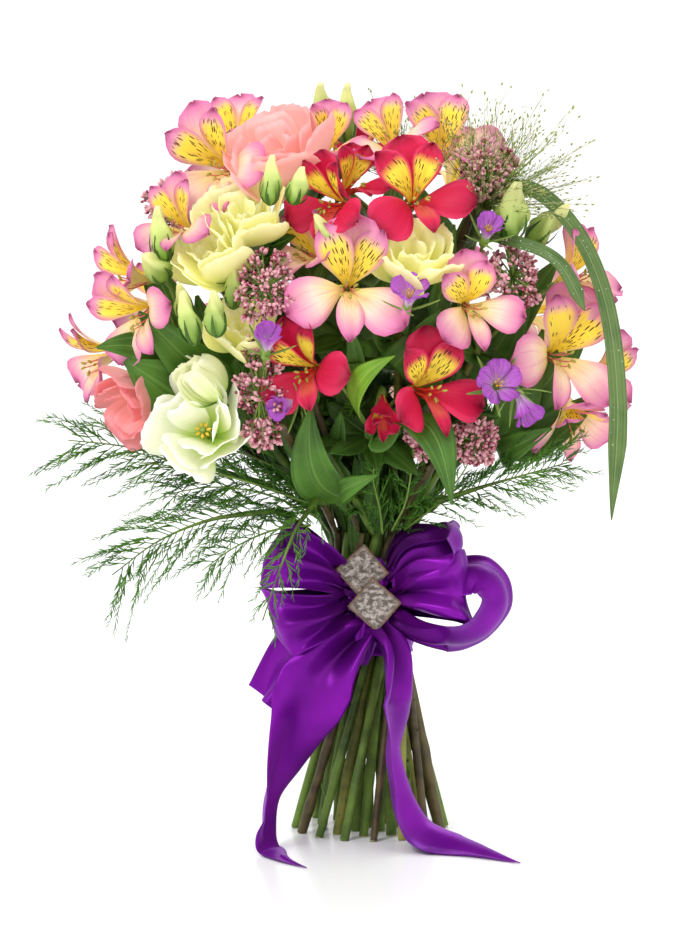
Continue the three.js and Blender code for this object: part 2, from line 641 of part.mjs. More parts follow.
function pushApart(one, two) {
  const least = one.radius + two.radius + 2 * gap;
  const movable = (strand, i) => strand.free.includes(i) || strand.free.includes(i + 1);
  for (let i = 0; i + 1 < one.points.length; i += 1) {
    const [a0, a1] = one.points.slice(i, i + 2);
    for (let j = 0; j + 1 < two.points.length; j += 1) {
      if (movable(one, i) || movable(two, j)) {
        const { s, t, apart } = closestPoints(a0, a1, two.points[j], two.points[j + 1]);
        const distance = apart.length();
        if (distance < least) {
          const push = apart.lengthSq() > 1e-6 ? apart.normalize() : vector(1, 0, 0);
          push.multiplyScalar(0.5 * (least - distance));
          movePoint(one, i, push, 1 - s);
          movePoint(one, i + 1, push, s);
          movePoint(two, j, push, t - 1);
          movePoint(two, j + 1, push, -t);
        }
      }
    }
  }
}

function movePoint(strand, i, push, share) {
  if (strand.free.includes(i)) {
    strand.points[i].addScaledVector(push, share);
  }
}

// A point on the cubic that leaves one point along a direction and reaches another along a second one.
function hermite(p, along, q, arriving, t) {
  const t2 = t * t;
  const t3 = t2 * t;
  return p.clone().multiplyScalar(2 * t3 - 3 * t2 + 1)
    .addScaledVector(along, t3 - 2 * t2 + t)
    .addScaledVector(q, 3 * t2 - 2 * t3)
    .addScaledVector(arriving, t3 - t2);
}

// Blooms in place

function bloomPose([across, up, sunk, turn, lift, roll, size, open], kind, back = false) {
  const depth = domeDepth(across, up) - sunk;
  const face = seen(across, up, back ? depth : -depth);
  const direction = facing(turn, lift);
  const foot = face.clone().addScaledVector(direction, -footDepth[kind] * size);
  return { kind, foot, direction, matrix: placed(foot, direction, roll), size, open };
}

function petalSolids(pose, grow) {
  const corollas = corollasOf[pose.kind](pose.size, pose.open, grow);
  return corollas.map((petals) => solidFrom(petals.applyMatrix4(pose.matrix)));
}

// The point where a spray's pedicels part, and the way its stem runs there.
function hubOf(poses, reach = pedicelReach) {
  const middle = vector(0, 0, 0);
  const lean = vector(0, 0, 0);
  for (const pose of poses) {
    middle.addScaledVector(pose.foot, 1 / poses.length);
    lean.addScaledVector(pose.direction, 1 / poses.length);
  }
  const inward = fanPoint.clone().sub(middle).normalize();
  const point = middle.clone().addScaledVector(inward, reach);
  const outward = middle.clone().sub(point).normalize();
  const direction = outward.multiplyScalar(0.7).addScaledVector(lean, 0.3).normalize();
  return { point, direction };
}

const stems = [];
const pedicels = [];

function addStem(family, end, direction, radius = stemRadius) {
  const stem = { family, end, direction, radius };
  stems.push(stem);
  return stem;
}

// A pedicel leaves the stem's end and reaches a bloom or bud from behind.
function addPedicel(family, hub, end, arriving, radius = pedicelRadius) {
  const start = hub.point.clone().addScaledVector(hub.direction, 3);
  const length = start.distanceTo(end);
  const along = hub.direction.clone().multiplyScalar(strandSag * length);
  const into = arriving.clone().multiplyScalar(strandSag * length);
  const points = [0, 0.5, 1].map((t) => hermite(start, along, end, into, t));
  const pedicel = { family, points, free: [1], radius };
  pedicels.push(pedicel);
  return pedicel;
}

function layStems() {
  assignSlots(stems);
  for (const stem of stems) {
    const start = stem.line(freeHeight);
    const along = start.clone().sub(stem.line(freeHeight - 1));
    const length = start.distanceTo(stem.end);
    along.multiplyScalar(length);
    const into = stem.direction.clone().multiplyScalar(length);
    const inner = [0.25, 0.5, 0.75].map((t) => hermite(start, along, stem.end, into, t));
    stem.points = [stem.line(-floorOverrun), start, ...inner, stem.end];
    stem.free = [2, 3, 4];
  }
}

// A stem solid, cut level with the surface that the bouquet stands on.
function stemSolid(stem, grow, sides = 5) {
  return tube(stem.points, stem.radius + grow, sides).trimByPlane([0, 0, 1], -grow);
}

// A leaf grows from a place along a stem, bends towards one point and ends at another, and its face looks outwards.
function leafSolid(stem, t, bend, tip, halfWidth, grow) {
  const free = stem.points.slice(1);
  const base = new THREE.CatmullRomCurve3(free).getPoint(t);
  const curve = new THREE.QuadraticBezierCurve3(base, bend, tip);
  const middle = curve.getPoint(0.6);
  const side = curve.getTangent(0.6).cross(vector(middle.x, middle.y, 40)).normalize();
  return solidFrom(blade({
    curve, side: () => side, half: (s) => halfWidth * Math.sin(Math.PI * s ** 0.8) ** 0.8,
    thick: leafThickness, rows: [0, 0.3, 0.72, 1], cup: 0.1, grow,
  }));
}

// Leaves on every stem that has none among the blooms, turned to its left and right in turn.
function plainLeaf(stem, place, hand, grow) {
  const base = new THREE.CatmullRomCurve3(stem.points.slice(1)).getPoint(place);
  const radial = vector(base.x, base.y, 0).normalize();
  const sideways = vector(-radial.y, radial.x, 0).multiplyScalar(14 * hand);
  const bend = base.clone().addScaledVector(radial, 22).add(sideways).add(vector(0, 0, 26));
  const tip = base.clone().addScaledVector(radial, 48).addScaledVector(sideways, 1.4).add(vector(0, 0, 34));
  return leafSolid(stem, place, bend, tip, plainLeafHalfWidth, grow);
}

function leavesOf(family, stem, grow) {
  const shown = shownLeaves.filter(([owner]) => owner === family);
  if (shown.length === 0) {
    return plainLeafPlaces.map((place, i) => plainLeaf(stem, place, i === 0 ? 1 : -1, grow));
  }
  return shown.map(([, t, bend, tip, half]) => leafSolid(stem, t, seen(...bend), seen(...tip), half, grow));
}

// A pointed, folded bud on its calyx.
function budSolid(foot, direction, length, radius, grow) {
  const sides = [[0.75, 0.12], [1, 0.38], [0.6, 0.75]].map(([r, h]) => [radius * r + grow, length * h]);
  const profile = [[0, -grow], ...sides, [0, length + grow]].map(([r, h]) => new THREE.Vector2(r, h));
  const lathe = new THREE.LatheGeometry(profile, 5);
  lathe.rotateX(Math.PI / 2);
  lathe.applyMatrix4(placed(foot, direction));
  return solidFrom(lathe);
}

// A head of tiny buds. On a ball of 92 points, 32 stand apart from each other: they are drawn out to bud tips,
// and the points between them stay on the smaller core.
function riceHead({ matrix, halves, seed }, grow) {
  const coreShare = 0.64;
  const shieldShare = 1.1;
  const ball = new THREE.IcosahedronGeometry(1, 2);
  const whole = new THREE.IcosahedronGeometry(1, 0).getAttribute("position");
  const draw = makeDraw(seed);
  const budAxes = [];
  for (let i = 0; i < whole.count; i += 3) {
    const corners = [0, 1, 2].map((k) => new THREE.Vector3().fromBufferAttribute(whole, i + k));
    const middle = corners[0].clone().add(corners[1]).add(corners[2]).normalize();
    for (const axis of [...corners, middle]) {
      if (!budAxes.some((known) => known.axis.distanceTo(axis) < 0.01)) {
        budAxes.push({ axis, height: 0.92 + 0.16 * draw() });
      }
    }
  }
  const position = ball.getAttribute("position");
  const p = new THREE.Vector3();
  for (let i = 0; i < position.count; i += 1) {
    p.fromBufferAttribute(position, i);
    const bud = budAxes.find((known) => known.axis.distanceTo(p) < 0.05);
    const height = bud ? bud.height : coreShare;
    p.multiplyScalar(grow > 0 ? shieldShare : height).multiply(halves).applyMatrix4(matrix);
    position.setXYZ(i, p.x, p.y, p.z);
  }
  return solidFrom(ball);
}

// A feathery frond as one thin arched blade, cut to the rib into pairs of branchlets that are toothed with needles.
function frondBlade({ points, reach, pairs, facing: [turn, lift] }, grow) {
  const rachis = new THREE.CatmullRomCurve3(points.map((p) => seen(...p)));
  const outward = facing(turn, lift);
  const length = rachis.getLength();
  const draw = makeDraw(pairs * 7919);
  const rib = 1 + grow;
  const depth = leafThickness + 2 * grow;
  const slant = radians(46);
  const needles = [[0, -1.1], [0.62, -4.4], [0.52, -0.6], [1, 0.3], [0.84, 4], [0.62, 0.7], [0, 1.1]];
  const skin = new Skin();

  // A point of the flat frond, bent with the rachis where its branchlet has its root.
  const bent = ([along, aside, root]) => {
    const t = THREE.MathUtils.clamp(root / length, 0, 1);
    const tangent = rachis.getTangentAt(t);
    const side = outward.clone().cross(tangent).normalize();
    const normal = tangent.clone().cross(side);
    const droop = 0.006 * aside * aside;
    const middle = rachis.getPointAt(t);
    middle.addScaledVector(tangent, along - t * length).addScaledVector(side, aside);
    return [0.5, -0.5].map((face) => skin.point(middle.clone().addScaledVector(normal, face * depth - droop)));
  };

  const branchlet = (root, side) => {
    const stretch = reach * (1 - (0.55 * root) / length) * (0.85 + 0.3 * draw());
    return needles.map(([share, off]) => {
      const along = share * stretch;
      const aside = off + Math.sign(off) * grow;
      const away = Math.max(rib, rib + Math.sin(slant) * along - Math.cos(slant) * aside);
      return [root + Math.cos(slant) * along + Math.sin(slant) * aside, side * away, root];
    });
  };

  const step = length / pairs;
  for (let i = 0; i < pairs; i += 1) {
    const near = i === 0 ? -grow : i * step;
    const far = (i + 1) * step + (i + 1 === pairs ? grow : 0);
    const outline = [
      [near, -rib, near], ...branchlet((i + 0.55) * step, -1), [far, -rib, far],
      [far, rib, far], ...branchlet((i + 0.3) * step, 1).reverse(), [near, rib, near],
    ];
    const ids = outline.map(bent);
    const flat = outline.map(([x, y]) => new THREE.Vector2(x, y));
    for (const [a, b, c] of THREE.ShapeUtils.triangulateShape(flat, [])) {
      skin.triangle(ids[a][0], ids[b][0], ids[c][0]);
      skin.triangle(ids[a][1], ids[c][1], ids[b][1]);
    }
    const shared = [...(i > 0 ? [near] : []), ...(i + 1 < pairs ? [far] : [])];
    outline.forEach((point, a) => {
      const b = (a + 1) % outline.length;
      if (point[0] !== outline[b][0] || !shared.includes(point[0])) {
        skin.triangle(ids[a][1], ids[b][1], ids[b][0]);
        skin.triangle(ids[a][1], ids[b][0], ids[a][0]);
      }
    });
  }
  return solidFrom(skin.geometry());
}

// Fine branchlets that fan out from the tuft, each with seeds near its end.
function grassBranchlets({ tuft, turn, lift, reach, count, spread }, grow) {
  const from = seen(...tuft);
  const middle = facing(turn, lift);
  const frame = placed(vector(0, 0, 0), middle);
  const draw = makeDraw(count * 104729);
  const parts = [];
  for (let i = 0; i < count; i += 1) {
    const lean = spread * Math.sqrt((i + 0.5) / count);
    const direction = new THREE.Vector3().setFromSphericalCoords(1, lean, i * goldenAngle);
    direction.set(direction.z, direction.x, direction.y).applyMatrix4(frame).normalize();
    const length = reach * (0.62 + 0.38 * draw());
    const to = from.clone().addScaledVector(direction, length);
    parts.push(spike(from, to, 0.7 + grow, 0.2 + grow));
    parts.push(bead(from.clone().lerp(to, 0.97), direction, 1.2 + grow, 5 + grow, 3));
  }
  return parts;
}

// The bow

// A strip is narrow at the knot, and gathered at both ends or square at its far one. Its width ends as a share, last.
function bowSolid({ points, widths }, { gathered, square = false, last, grow }) {
  const curve = new THREE.CatmullRomCurve3(points.map((p) => vector(...p)));
  const width = new THREE.CatmullRomCurve3(widths.map((p) => vector(...p)));
  const half = (t) => {
    const start = Math.min(1, 0.32 + 3.2 * t);
    const end = gathered ? Math.min(1, 0.32 + 3.2 * (1 - t)) : 1;
    return 0.5 * ribbonWidth * Math.min(start, end) * (1 - (1 - last) * t);
  };
  const rows = [0, 0.05, 0.2, 0.34, 0.48, 0.62, 0.76, 0.9, ...(square ? [0.985] : []), 1];
  const side = (t) => width.getPoint(t).normalize();
  return solidFrom(blade({ curve, side, half, thick: ribbonThickness, rows, level: gathered, grow }));
}

function roundLump(centre, half, grow, sides = 6, rings = 4) {
  const lump = new THREE.SphereGeometry(1, sides, rings);
  lump.rotateX(Math.PI / 2);
  lump.scale(half[0] + grow, half[1] + grow, half[2] + grow);
  lump.translate(...centre);
  return solidFrom(lump);
}

function bandSolid(grow) {
  const bottom = bandCentreHeight - ribbonWidth / 2;
  const top = bandCentreHeight + ribbonWidth / 2;
  const inner = [
    [bandFootRadius, bottom - grow], [bandWaistRadius, bandCentreHeight + 3], [bandInnerRadius, top + grow],
  ];
  const wall = ribbonThickness + grow;
  const profile = [...inner.map(([r, z]) => [r + wall, z]), ...inner.map(([r, z]) => [r - grow, z]).reverse()];
  const points = [...profile, profile[0]].map(([r, z]) => new THREE.Vector2(r, z));
  const ring = new THREE.LatheGeometry(points, 20);
  ring.rotateX(Math.PI / 2);
  return solidFrom(ring);
}

function barkSolid({ centre, turn, lean }, grow) {
  const half = barkSide / 2 + grow;
  const corners = [
    [-1, -0.94], [-0.1, -1.02], [0.96, -1], [1.03, 0.1], [0.98, 0.97], [0, 1], [-1, 1.02], [-0.95, 0],
  ];
  const outline = new THREE.Shape(corners.map(([x, y]) => new THREE.Vector2(half * x, half * y)));
  const depth = barkThickness + 2 * grow;
  const slab = new THREE.ExtrudeGeometry(outline, { depth, bevelEnabled: false });
  slab.translate(0, 0, -depth / 2);
  slab.applyMatrix4(placed(vector(...centre), facing(lean, 2), turn));
  return solidFrom(slab);
}

// Nodes, in the order in which they keep their place. A node's core is never cut by anything but an earlier core,
// and its flesh gives way to every other core and to all earlier flesh.
const nodes = [];

function addNode(name, colour, roughness, core, flesh = () => []) {
  nodes.push({ name, colour, roughness, core, flesh });
}

function addRibbon() {
  addNode("ribbon_band_and_knot", "ribbon", satinRoughness, (grow) => [
    bandSolid(grow), roundLump(knot.centre, knot.half, grow),
  ]);
  for (const place of barkPlaces) {
    addNode(place.name, "bark", dryRoughness, (grow) => [barkSolid(place, grow)]);
  }
  addNode("ribbon_tails", "ribbon", satinRoughness, (grow) => [
    roundLump([0.5, -36, 136], [9, 4.5, 7], grow),
    bowSolid(bowStrips.leftTail, { square: true, last: 0.9, grow }).trimByPlane([0, 0, 1], tailClearance),
    bowSolid(bowStrips.rightTail, { last: 0.6, grow }).trimByPlane([0, 0, 1], tailClearance),
  ]);
  addNode("ribbon_loops_left", "ribbon", satinRoughness, (grow) => [
    roundLump([-14, -34, 156], [5, 5, 17], grow),
    bowSolid(bowStrips.upperLeft, { gathered: true, last: 0.9, grow }),
    bowSolid(bowStrips.lowerLeft, { gathered: true, last: 0.9, grow }),
    bowSolid(bowStrips.smallLeft, { square: true, last: 0.7, grow }),
  ]);
  addNode("ribbon_loops_right", "ribbon", satinRoughness, (grow) => [
    roundLump([14, -34, 156], [5, 5, 17], grow),
    bowSolid(bowStrips.upperRight, { gathered: true, last: 0.8, grow }),
    bowSolid(bowStrips.middleRight, { gathered: true, last: 0.9, grow }),
    bowSolid(bowStrips.outerRight, { square: true, last: 0.8, grow }),
  ]);
}

function stalkSolids(stalks, grow) {
  return stalks.map((stalk) => tube(stalk.points, stalk.radius + grow, 3));
}

// An alstroemeria has a green leafy stem and, just above its end, the umbel that the stem carries.
function addAlstroemeria({ name, kind, blooms, back }) {
  const poses = blooms.map((bloom) => bloomPose(bloom, kind, back));
  const hub = hubOf(poses);
  const stem = addStem(name, hub.point, hub.direction);
  const stalks = poses.map((pose) => addPedicel(name, hub, pose.foot, pose.direction));
  const nod = (grow) => spike(
    hub.point.clone().addScaledVector(hub.direction, gap - grow),
    hub.point.clone().addScaledVector(hub.direction, 9 + grow), stemRadius + grow, 2 + grow, 4,
  );
  const umbelCore = (grow) => [nod(grow), ...stalkSolids(stalks, grow)];
  addNode(`${name}_umbel`, kind, petalRoughness, umbelCore, (grow) => poses.flatMap((pose) => petalSolids(pose, grow)));
  const stemCore = (grow) => [stemSolid(stem, grow)];
  addNode(`${name}_stem`, "stem", greenRoughness, stemCore, (grow) => leavesOf(name, stem, grow));
}

// A lisianthus spray is one green piece with its buds and leaves, and each bloom is a piece of its own.
function addLisianthus({ name, blooms, buds, back }) {
  const poses = blooms.map((bloom) => bloomPose(bloom.at, "lisianthus", back));
  const hub = hubOf(poses);
  const stem = addStem(name, hub.point, hub.direction);
  const below = (pose) => pose.foot.clone().addScaledVector(pose.direction, -2.2 - gap);
  const stalks = poses.map((pose) => addPedicel(name, hub, below(pose), pose.direction, 1.6));
  const budPoses = buds.map(([across, up, sunk, turn, lift, length, radius]) => {
    const depth = (domeDepth(across, up) - sunk) * (back ? 1 : -1);
    const direction = facing(turn, lift);
    const foot = seen(across, up, depth).addScaledVector(direction, -0.5 * length);
    return { foot, direction, length, radius };
  });
  for (const bud of budPoses) {
    stalks.push(addPedicel(name, hub, bud.foot.clone().addScaledVector(bud.direction, 1.5), bud.direction, 1.2));
  }
  poses.forEach((pose, i) => {
    const heart = pose.foot.clone().addScaledVector(pose.direction, 1.4);
    const bloomCore = (grow) => [bead(heart, pose.direction, 2 + grow, 6, 3)];
    addNode(blooms[i].name, blooms[i].colour, petalRoughness, bloomCore, (grow) => petalSolids(pose, grow));
  });
  const fork = hub.point.clone().addScaledVector(hub.direction, 2);
  addNode(`${name}_green`, "stem", greenRoughness, (grow) => [
    stemSolid(stem, grow), bead(fork, hub.direction, 4.6 + grow, 16), ...stalkSolids(stalks, grow),
    ...budPoses.map((bud) => budSolid(bud.foot, bud.direction, bud.length, bud.radius, grow)),
  ], (grow) => leavesOf(name, stem, grow));
}

// A corncockle spray is thin enough to be one piece with its stem.
function addCorncockle({ name, kind, blooms }) {
  const poses = blooms.map((bloom) => bloomPose(bloom, kind));
  const hub = hubOf(poses);
  const stem = addStem(name, hub.point, hub.direction, thinStemRadius);
  const stalks = poses.map((pose) => addPedicel(name, hub, pose.foot, pose.direction, 1.1));
  addNode(name, "violet", petalRoughness, (grow) => [
    stemSolid(stem, grow), bead(hub.point, hub.direction, 3.6 + grow, 14), ...stalkSolids(stalks, grow),
  ], (grow) => poses.flatMap((pose) => petalSolids(pose, grow)));
}

function addRiceFlower({ name, heads, back }, index) {
  const poses = heads.map(([across, up, sunk, turn, lift, halfWidth, halfHeight], i) => {
    const depth = (domeDepth(across, up) - sunk) * (back ? 1 : -1);
    const direction = facing(turn, lift);
    const halves = vector(halfWidth, halfHeight, 0.8 * Math.min(halfWidth, halfHeight));
    const centre = seen(across, up, depth).addScaledVector(direction, -halves.z);
    return { foot: centre, direction, halves, matrix: placed(centre, direction), seed: 31 + 17 * index + i };
  });
  const hub = hubOf(poses, 30);
  const stem = addStem(name, hub.point, hub.direction, thinStemRadius);
  const stalks = poses.map((pose) => addPedicel(name, hub, pose.foot, pose.direction, 1.3));
  addNode(name, "rice", dryRoughness, (grow) => [
    stemSolid(stem, grow), bead(hub.point, hub.direction, 3.8 + grow, 14), ...stalkSolids(stalks, grow),
  ], (grow) => poses.map((pose) => riceHead(pose, grow)));
}

function addFern(frond) {
  const rachis = frond.points.map((p) => seen(...p));
  const direction = rachis[1].clone().sub(rachis[0]).normalize();
  const stem = addStem(frond.name, rachis[0], direction, thinStemRadius);
  addNode(frond.name, "fern", dryRoughness, (grow) => [stemSolid(stem, grow)], (grow) => [frondBlade(frond, grow)]);
}

function addGrass(head) {
  const tuft = seen(...head.tuft);
  const stem = addStem(head.name, tuft, facing(head.turn, head.lift), thinStemRadius);
  addNode(head.name, "grass", dryRoughness, (grow) => [
    stemSolid(stem, grow), bead(tuft, facing(head.turn, head.lift), 2.4 + grow, 12, 5),
  ], (grow) => grassBranchlets(head, grow));
}

function addStrapLeaves() {
  const end = seen(...strapLeaves[0].points[0]);
  const direction = facing(30, 70);
  const stem = addStem("strap_leaves", end, direction, thinStemRadius);
  const root = end.clone().addScaledVector(direction, -7);
  const outward = facing(20, 34);
  const strap = ({ points, half }, grow) => {
    const curve = new THREE.CatmullRomCurve3([root, ...points.map((p) => seen(...p))]);
    const rows = [0, 0.05, 0.14, 0.22, 0.31, 0.4, 0.5, 0.6, 0.7, 0.8, 0.9, 1];
    return solidFrom(blade({
      curve, side: (t) => curve.getTangent(t).cross(outward), half: (t) => half * Math.min(1, 8 * t, 5 * (1 - t)),
      thick: leafThickness, rows, cup: 0.2, grow,
    }));
  };
  const core = (grow) => [stemSolid(stem, grow)];
  addNode("strap_leaves", "strap", greenRoughness, core, (grow) => strapLeaves.map((leaf) => strap(leaf, grow)));
}

// Assembly

function boxed(solid) {
  return { solid, box: solid.boundingBox() };
}

function boxesMeet(a, b) {
  return [0, 1, 2].every((k) => a.box.min[k] <= b.box.max[k] && b.box.min[k] <= a.box.max[k]);
}

function clearOf(item, shields) {
  const near = shields.filter((shield) => boxesMeet(item, shield)).map((shield) => shield.solid);
  return near.length === 0 ? item.solid : Manifold.difference([item.solid, ...near]);
}

// What is left of a node after the cuts, without the scraps that no longer hang on to it.
function largestPiece(solid) {
  return solid.decompose().reduce((best, piece) => (piece.volume() > best.volume() ? piece : best));
}

function cutNodes() {
  const coreShields = [];
  for (const node of nodes) {
    node.coreSolid = clearOf(boxed(joined(node.core(0))), coreShields);
    node.coreShield = boxed(joined(node.core(gap)));
    coreShields.push(node.coreShield);
  }
  const fleshShields = [];
  for (const node of nodes) {
    const others = coreShields.filter((shield) => shield !== node.coreShield);
    const flesh = node.flesh(0).map((solid) => clearOf(boxed(solid), [...others, ...fleshShields]));
    node.solid = largestPiece(joined([node.coreSolid, ...flesh]));
    fleshShields.push(...node.flesh(gap).map(boxed));
  }
  nodes.forEach((node, i) => {
    const item = boxed(node.solid);
    const near = nodes.slice(0, i).map((other) => boxed(other.solid)).filter((other) => boxesMeet(item, other));
    const touching = near.filter((other) => item.solid.intersect(other.solid).volume() > leastOverlap);
    node.solid = largestPiece(clearOf(item, touching));
  });
}

function meshOf({ name, colour, roughness, solid }) {
  const { vertProperties, triVerts } = solid.getMesh();
  const geometry = new THREE.BufferGeometry();
  geometry.setAttribute("position", new THREE.Float32BufferAttribute(vertProperties, 3));
  geometry.setIndex([...triVerts]);
  geometry.computeVertexNormals();
  const material = new THREE.MeshStandardMaterial({ color: colours[colour], roughness, metalness: 0 });
  const mesh = new THREE.Mesh(geometry, material);
  mesh.name = name;
  return mesh;
}

addRibbon();
umbels.forEach(addAlstroemeria);
lisianthusSprays.forEach(addLisianthus);
corncockleSprays.forEach(addCorncockle);
riceSprays.forEach(addRiceFlower);
fernFronds.forEach(addFern);
addStrapLeaves();
grassHeads.forEach(addGrass);
layStems();
spreadStrands([...stems, ...pedicels]);
cutNodes();

const bouquet = new THREE.Group();
bouquet.add(...nodes.map(meshOf));

export default bouquet;
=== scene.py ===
# Looks of a mixed bouquet that stands on its cut stems, tied with a wide satin bow.
# Layout values are millimetres on the upright plane through the middle; meshes are written in metres.
import math
import random

import bmesh
import bpy
import numpy as np
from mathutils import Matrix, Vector
from mathutils.kdtree import KDTree


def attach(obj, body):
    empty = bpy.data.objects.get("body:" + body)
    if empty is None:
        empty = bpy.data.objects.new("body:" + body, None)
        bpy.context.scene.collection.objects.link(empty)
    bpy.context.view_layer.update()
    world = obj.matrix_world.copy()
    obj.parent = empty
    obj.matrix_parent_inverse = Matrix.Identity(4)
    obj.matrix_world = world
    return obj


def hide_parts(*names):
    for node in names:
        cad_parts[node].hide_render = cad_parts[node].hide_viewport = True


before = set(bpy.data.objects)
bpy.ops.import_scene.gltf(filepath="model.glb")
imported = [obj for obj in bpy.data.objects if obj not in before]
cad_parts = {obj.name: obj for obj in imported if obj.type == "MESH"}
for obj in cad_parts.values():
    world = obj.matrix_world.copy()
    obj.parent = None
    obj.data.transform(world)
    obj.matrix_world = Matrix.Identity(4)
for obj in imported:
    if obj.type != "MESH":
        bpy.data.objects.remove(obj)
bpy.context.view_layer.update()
print("frame loaded")

# Where things are

head = {"middle": (-15, 0, 345), "half": (180, 114, 125), "fan": (0, 0, 185)}
eye = {"distance": 2000, "height": 390}
footDepth = {"pink": 30, "crimson": 30, "lisianthus": 30, "corncockle": 22}
goldenAngle = 2.39996


def vec(*numbers):
    return np.array(numbers, dtype=float)


def polar(angle, radius, z):
    return vec(radius * math.cos(angle), radius * math.sin(angle), z)


def stray(draw, low=-1, high=1):
    return vec(draw.uniform(-1, 1), draw.uniform(-1, 1), draw.uniform(low, high))


def unit(v):
    return v / max(1e-9, float(np.linalg.norm(v)))


def seen(across, up, depth):
    stretch = (eye["distance"] + depth) / eye["distance"]
    return vec(across * stretch, depth, eye["height"] + (up - eye["height"]) * stretch)


def domeDepth(across, up):
    dx = (across - head["middle"][0]) / head["half"][0]
    dz = (up - head["middle"][2]) / head["half"][2]
    return head["half"][1] * math.sqrt(max(0.0, 1 - dx * dx - dz * dz))


def facing(turn, lift):
    a, b = math.radians(turn), math.radians(lift)
    return vec(math.sin(a) * math.cos(b), -math.cos(a) * math.cos(b), math.sin(b))


def placed(point, direction, roll=0.0):  # local +Z to the direction, local +Y as near to up as it can be
    z = unit(direction)
    up = vec(0, 1, 0) if abs(z[2]) > 0.99 else vec(0, 0, 1)
    x = unit(np.cross(up, z))
    y = np.cross(z, x)
    c, s = math.cos(math.radians(roll)), math.sin(math.radians(roll))
    return np.column_stack([c * x + s * y, c * y - s * x, z]), np.array(point, dtype=float)


def turned(points, place):
    basis, origin = place
    return points @ basis.T + origin


def smoothPath(points, count):  # a centripetal curve through the points
    p = [np.array(q, dtype=float) for q in points]
    p = [2 * p[0] - p[1]] + p + [2 * p[-1] - p[-2]]
    out = []
    for t in np.linspace(0.0, 1.0, count):
        at = t * (len(points) - 1)
        i = min(int(at), len(points) - 2)
        w = at - i
        a, b, c, d = p[i : i + 4]
        d0, d1, d2 = (max(1e-4, float(np.linalg.norm(n - m))) ** 0.5 for m, n in ((a, b), (b, c), (c, d)))
        t1 = ((b - a) / d0 - (c - a) / (d0 + d1) + (c - b) / d1) * d1
        t2 = ((c - b) / d1 - (d - b) / (d1 + d2) + (d - c) / d2) * d1
        out.append(b + t1 * w + (-3 * b + 3 * c - 2 * t1 - t2) * w * w + (2 * b - 2 * c + t1 + t2) * w**3)
    return np.array(out)


def bent(a, b, c, t):  # a quadratic curve from a to c that leans towards b
    t = np.asarray(t, dtype=float)[:, None]
    return (1 - t) ** 2 * a + 2 * t * (1 - t) * b + t * t * c


def slopes(path):
    steps = np.gradient(path, axis=0)
    return steps / np.maximum(1e-9, np.linalg.norm(steps, axis=1))[:, None]


# Collecting the mesh of one piece


class Clump:
    def __init__(self):
        self.verts, self.faces, self.paints = [], [], []
        self.facts = {"across": [], "along": [], "tone": [], "ring": []}
        self.count = 0

    def add(self, verts, faces, paint, across=0.0, along=0.0, tone=0.5, ring=0.0):
        verts = np.asarray(verts, dtype=float)
        self.verts.append(verts)
        self.faces.extend([tuple(int(i) + self.count for i in face) for face in faces])
        self.paints.extend([paint] * len(faces))
        for name, value in zip(self.facts, (across, along, tone, ring)):
            self.facts[name].append(np.broadcast_to(np.asarray(value, dtype=float), (len(verts),)))
        self.count += len(verts)


def newObject(name, data):
    made = bpy.data.objects.new(name, data)
    bpy.context.scene.collection.objects.link(made)
    return made


def storeFact(mesh, name, values, kind="FLOAT"):
    layer = mesh.attributes.new(name, kind, "POINT")
    layer.data.foreach_set("value" if kind == "FLOAT" else "vector", values)


def makePiece(name, clump, materials, node):
    mesh = bpy.data.meshes.new(name)
    verts = np.concatenate(clump.verts) * 0.001
    verts[:, 2] = np.maximum(verts[:, 2], 0)
    mesh.from_pydata(verts.tolist(), [], clump.faces)
    for fact, parts in clump.facts.items():
        storeFact(mesh, fact, np.concatenate(parts))
    for material in materials:
        mesh.materials.append(paints[material])
    mesh.polygons.foreach_set("material_index", clump.paints)
    mesh.polygons.foreach_set("use_smooth", [True] * len(mesh.polygons))
    mesh.update()
    piece = newObject(name, mesh)
    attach(piece, "root")
    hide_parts(node)
    return piece


def baked(holder):  # the points, faces and facts that a helper object's modifier makes
    view = bpy.context.evaluated_depsgraph_get()
    mesh = bpy.data.meshes.new_from_object(holder.evaluated_get(view))
    verts = np.zeros(len(mesh.vertices) * 3)
    mesh.vertices.foreach_get("co", verts)
    kept = {name: np.full(len(mesh.vertices), 0.5) for name in ("along", "tone")}
    for name, values in kept.items():
        layer = mesh.attributes.get(name)
        if layer is not None and layer.domain == "POINT":
            layer.data.foreach_get("value", values)
    faces = [tuple(p.vertices) for p in mesh.polygons]
    bpy.data.objects.remove(holder)
    bpy.data.meshes.remove(mesh)
    return verts.reshape(-1, 3) * 1000, faces, kept


def shell(clump, grid, thickness, paint, tone, ring, across, along):
    # a closed thin skin round a grid of points, thinner at its edges
    rows, columns = grid.shape[:2]
    normal = np.cross(np.gradient(grid, axis=1), np.gradient(grid, axis=0))
    normal /= np.maximum(1e-9, np.linalg.norm(normal, axis=2))[:, :, None]
    taper = np.ones((rows, columns))
    taper[:, 0] = taper[:, -1] = taper[-1, :] = 0.3
    lift = normal * (0.5 * thickness * taper)[:, :, None]
    verts = np.concatenate([(grid + lift).reshape(-1, 3), (grid - lift).reshape(-1, 3)])
    half = rows * columns
    at = np.arange(half).reshape(rows, columns)
    faces = []
    for i in range(rows - 1):
        for j in range(columns - 1):
            a, b, c, d = at[i, j], at[i, j + 1], at[i + 1, j + 1], at[i + 1, j]
            faces.append((a, b, c, d))
            faces.append((a + half, d + half, c + half, b + half))
    rim = [*at[0, :], *at[1:, -1], *at[-1, -2::-1], *at[-2:0:-1, 0]]
    faces += [(b, a, a + half, b + half) for a, b in zip(rim, rim[1:] + rim[:1])]
    clump.add(verts, faces, paint, np.tile(np.tile(across, rows), 2), np.tile(np.repeat(along, columns), 2), tone, ring)


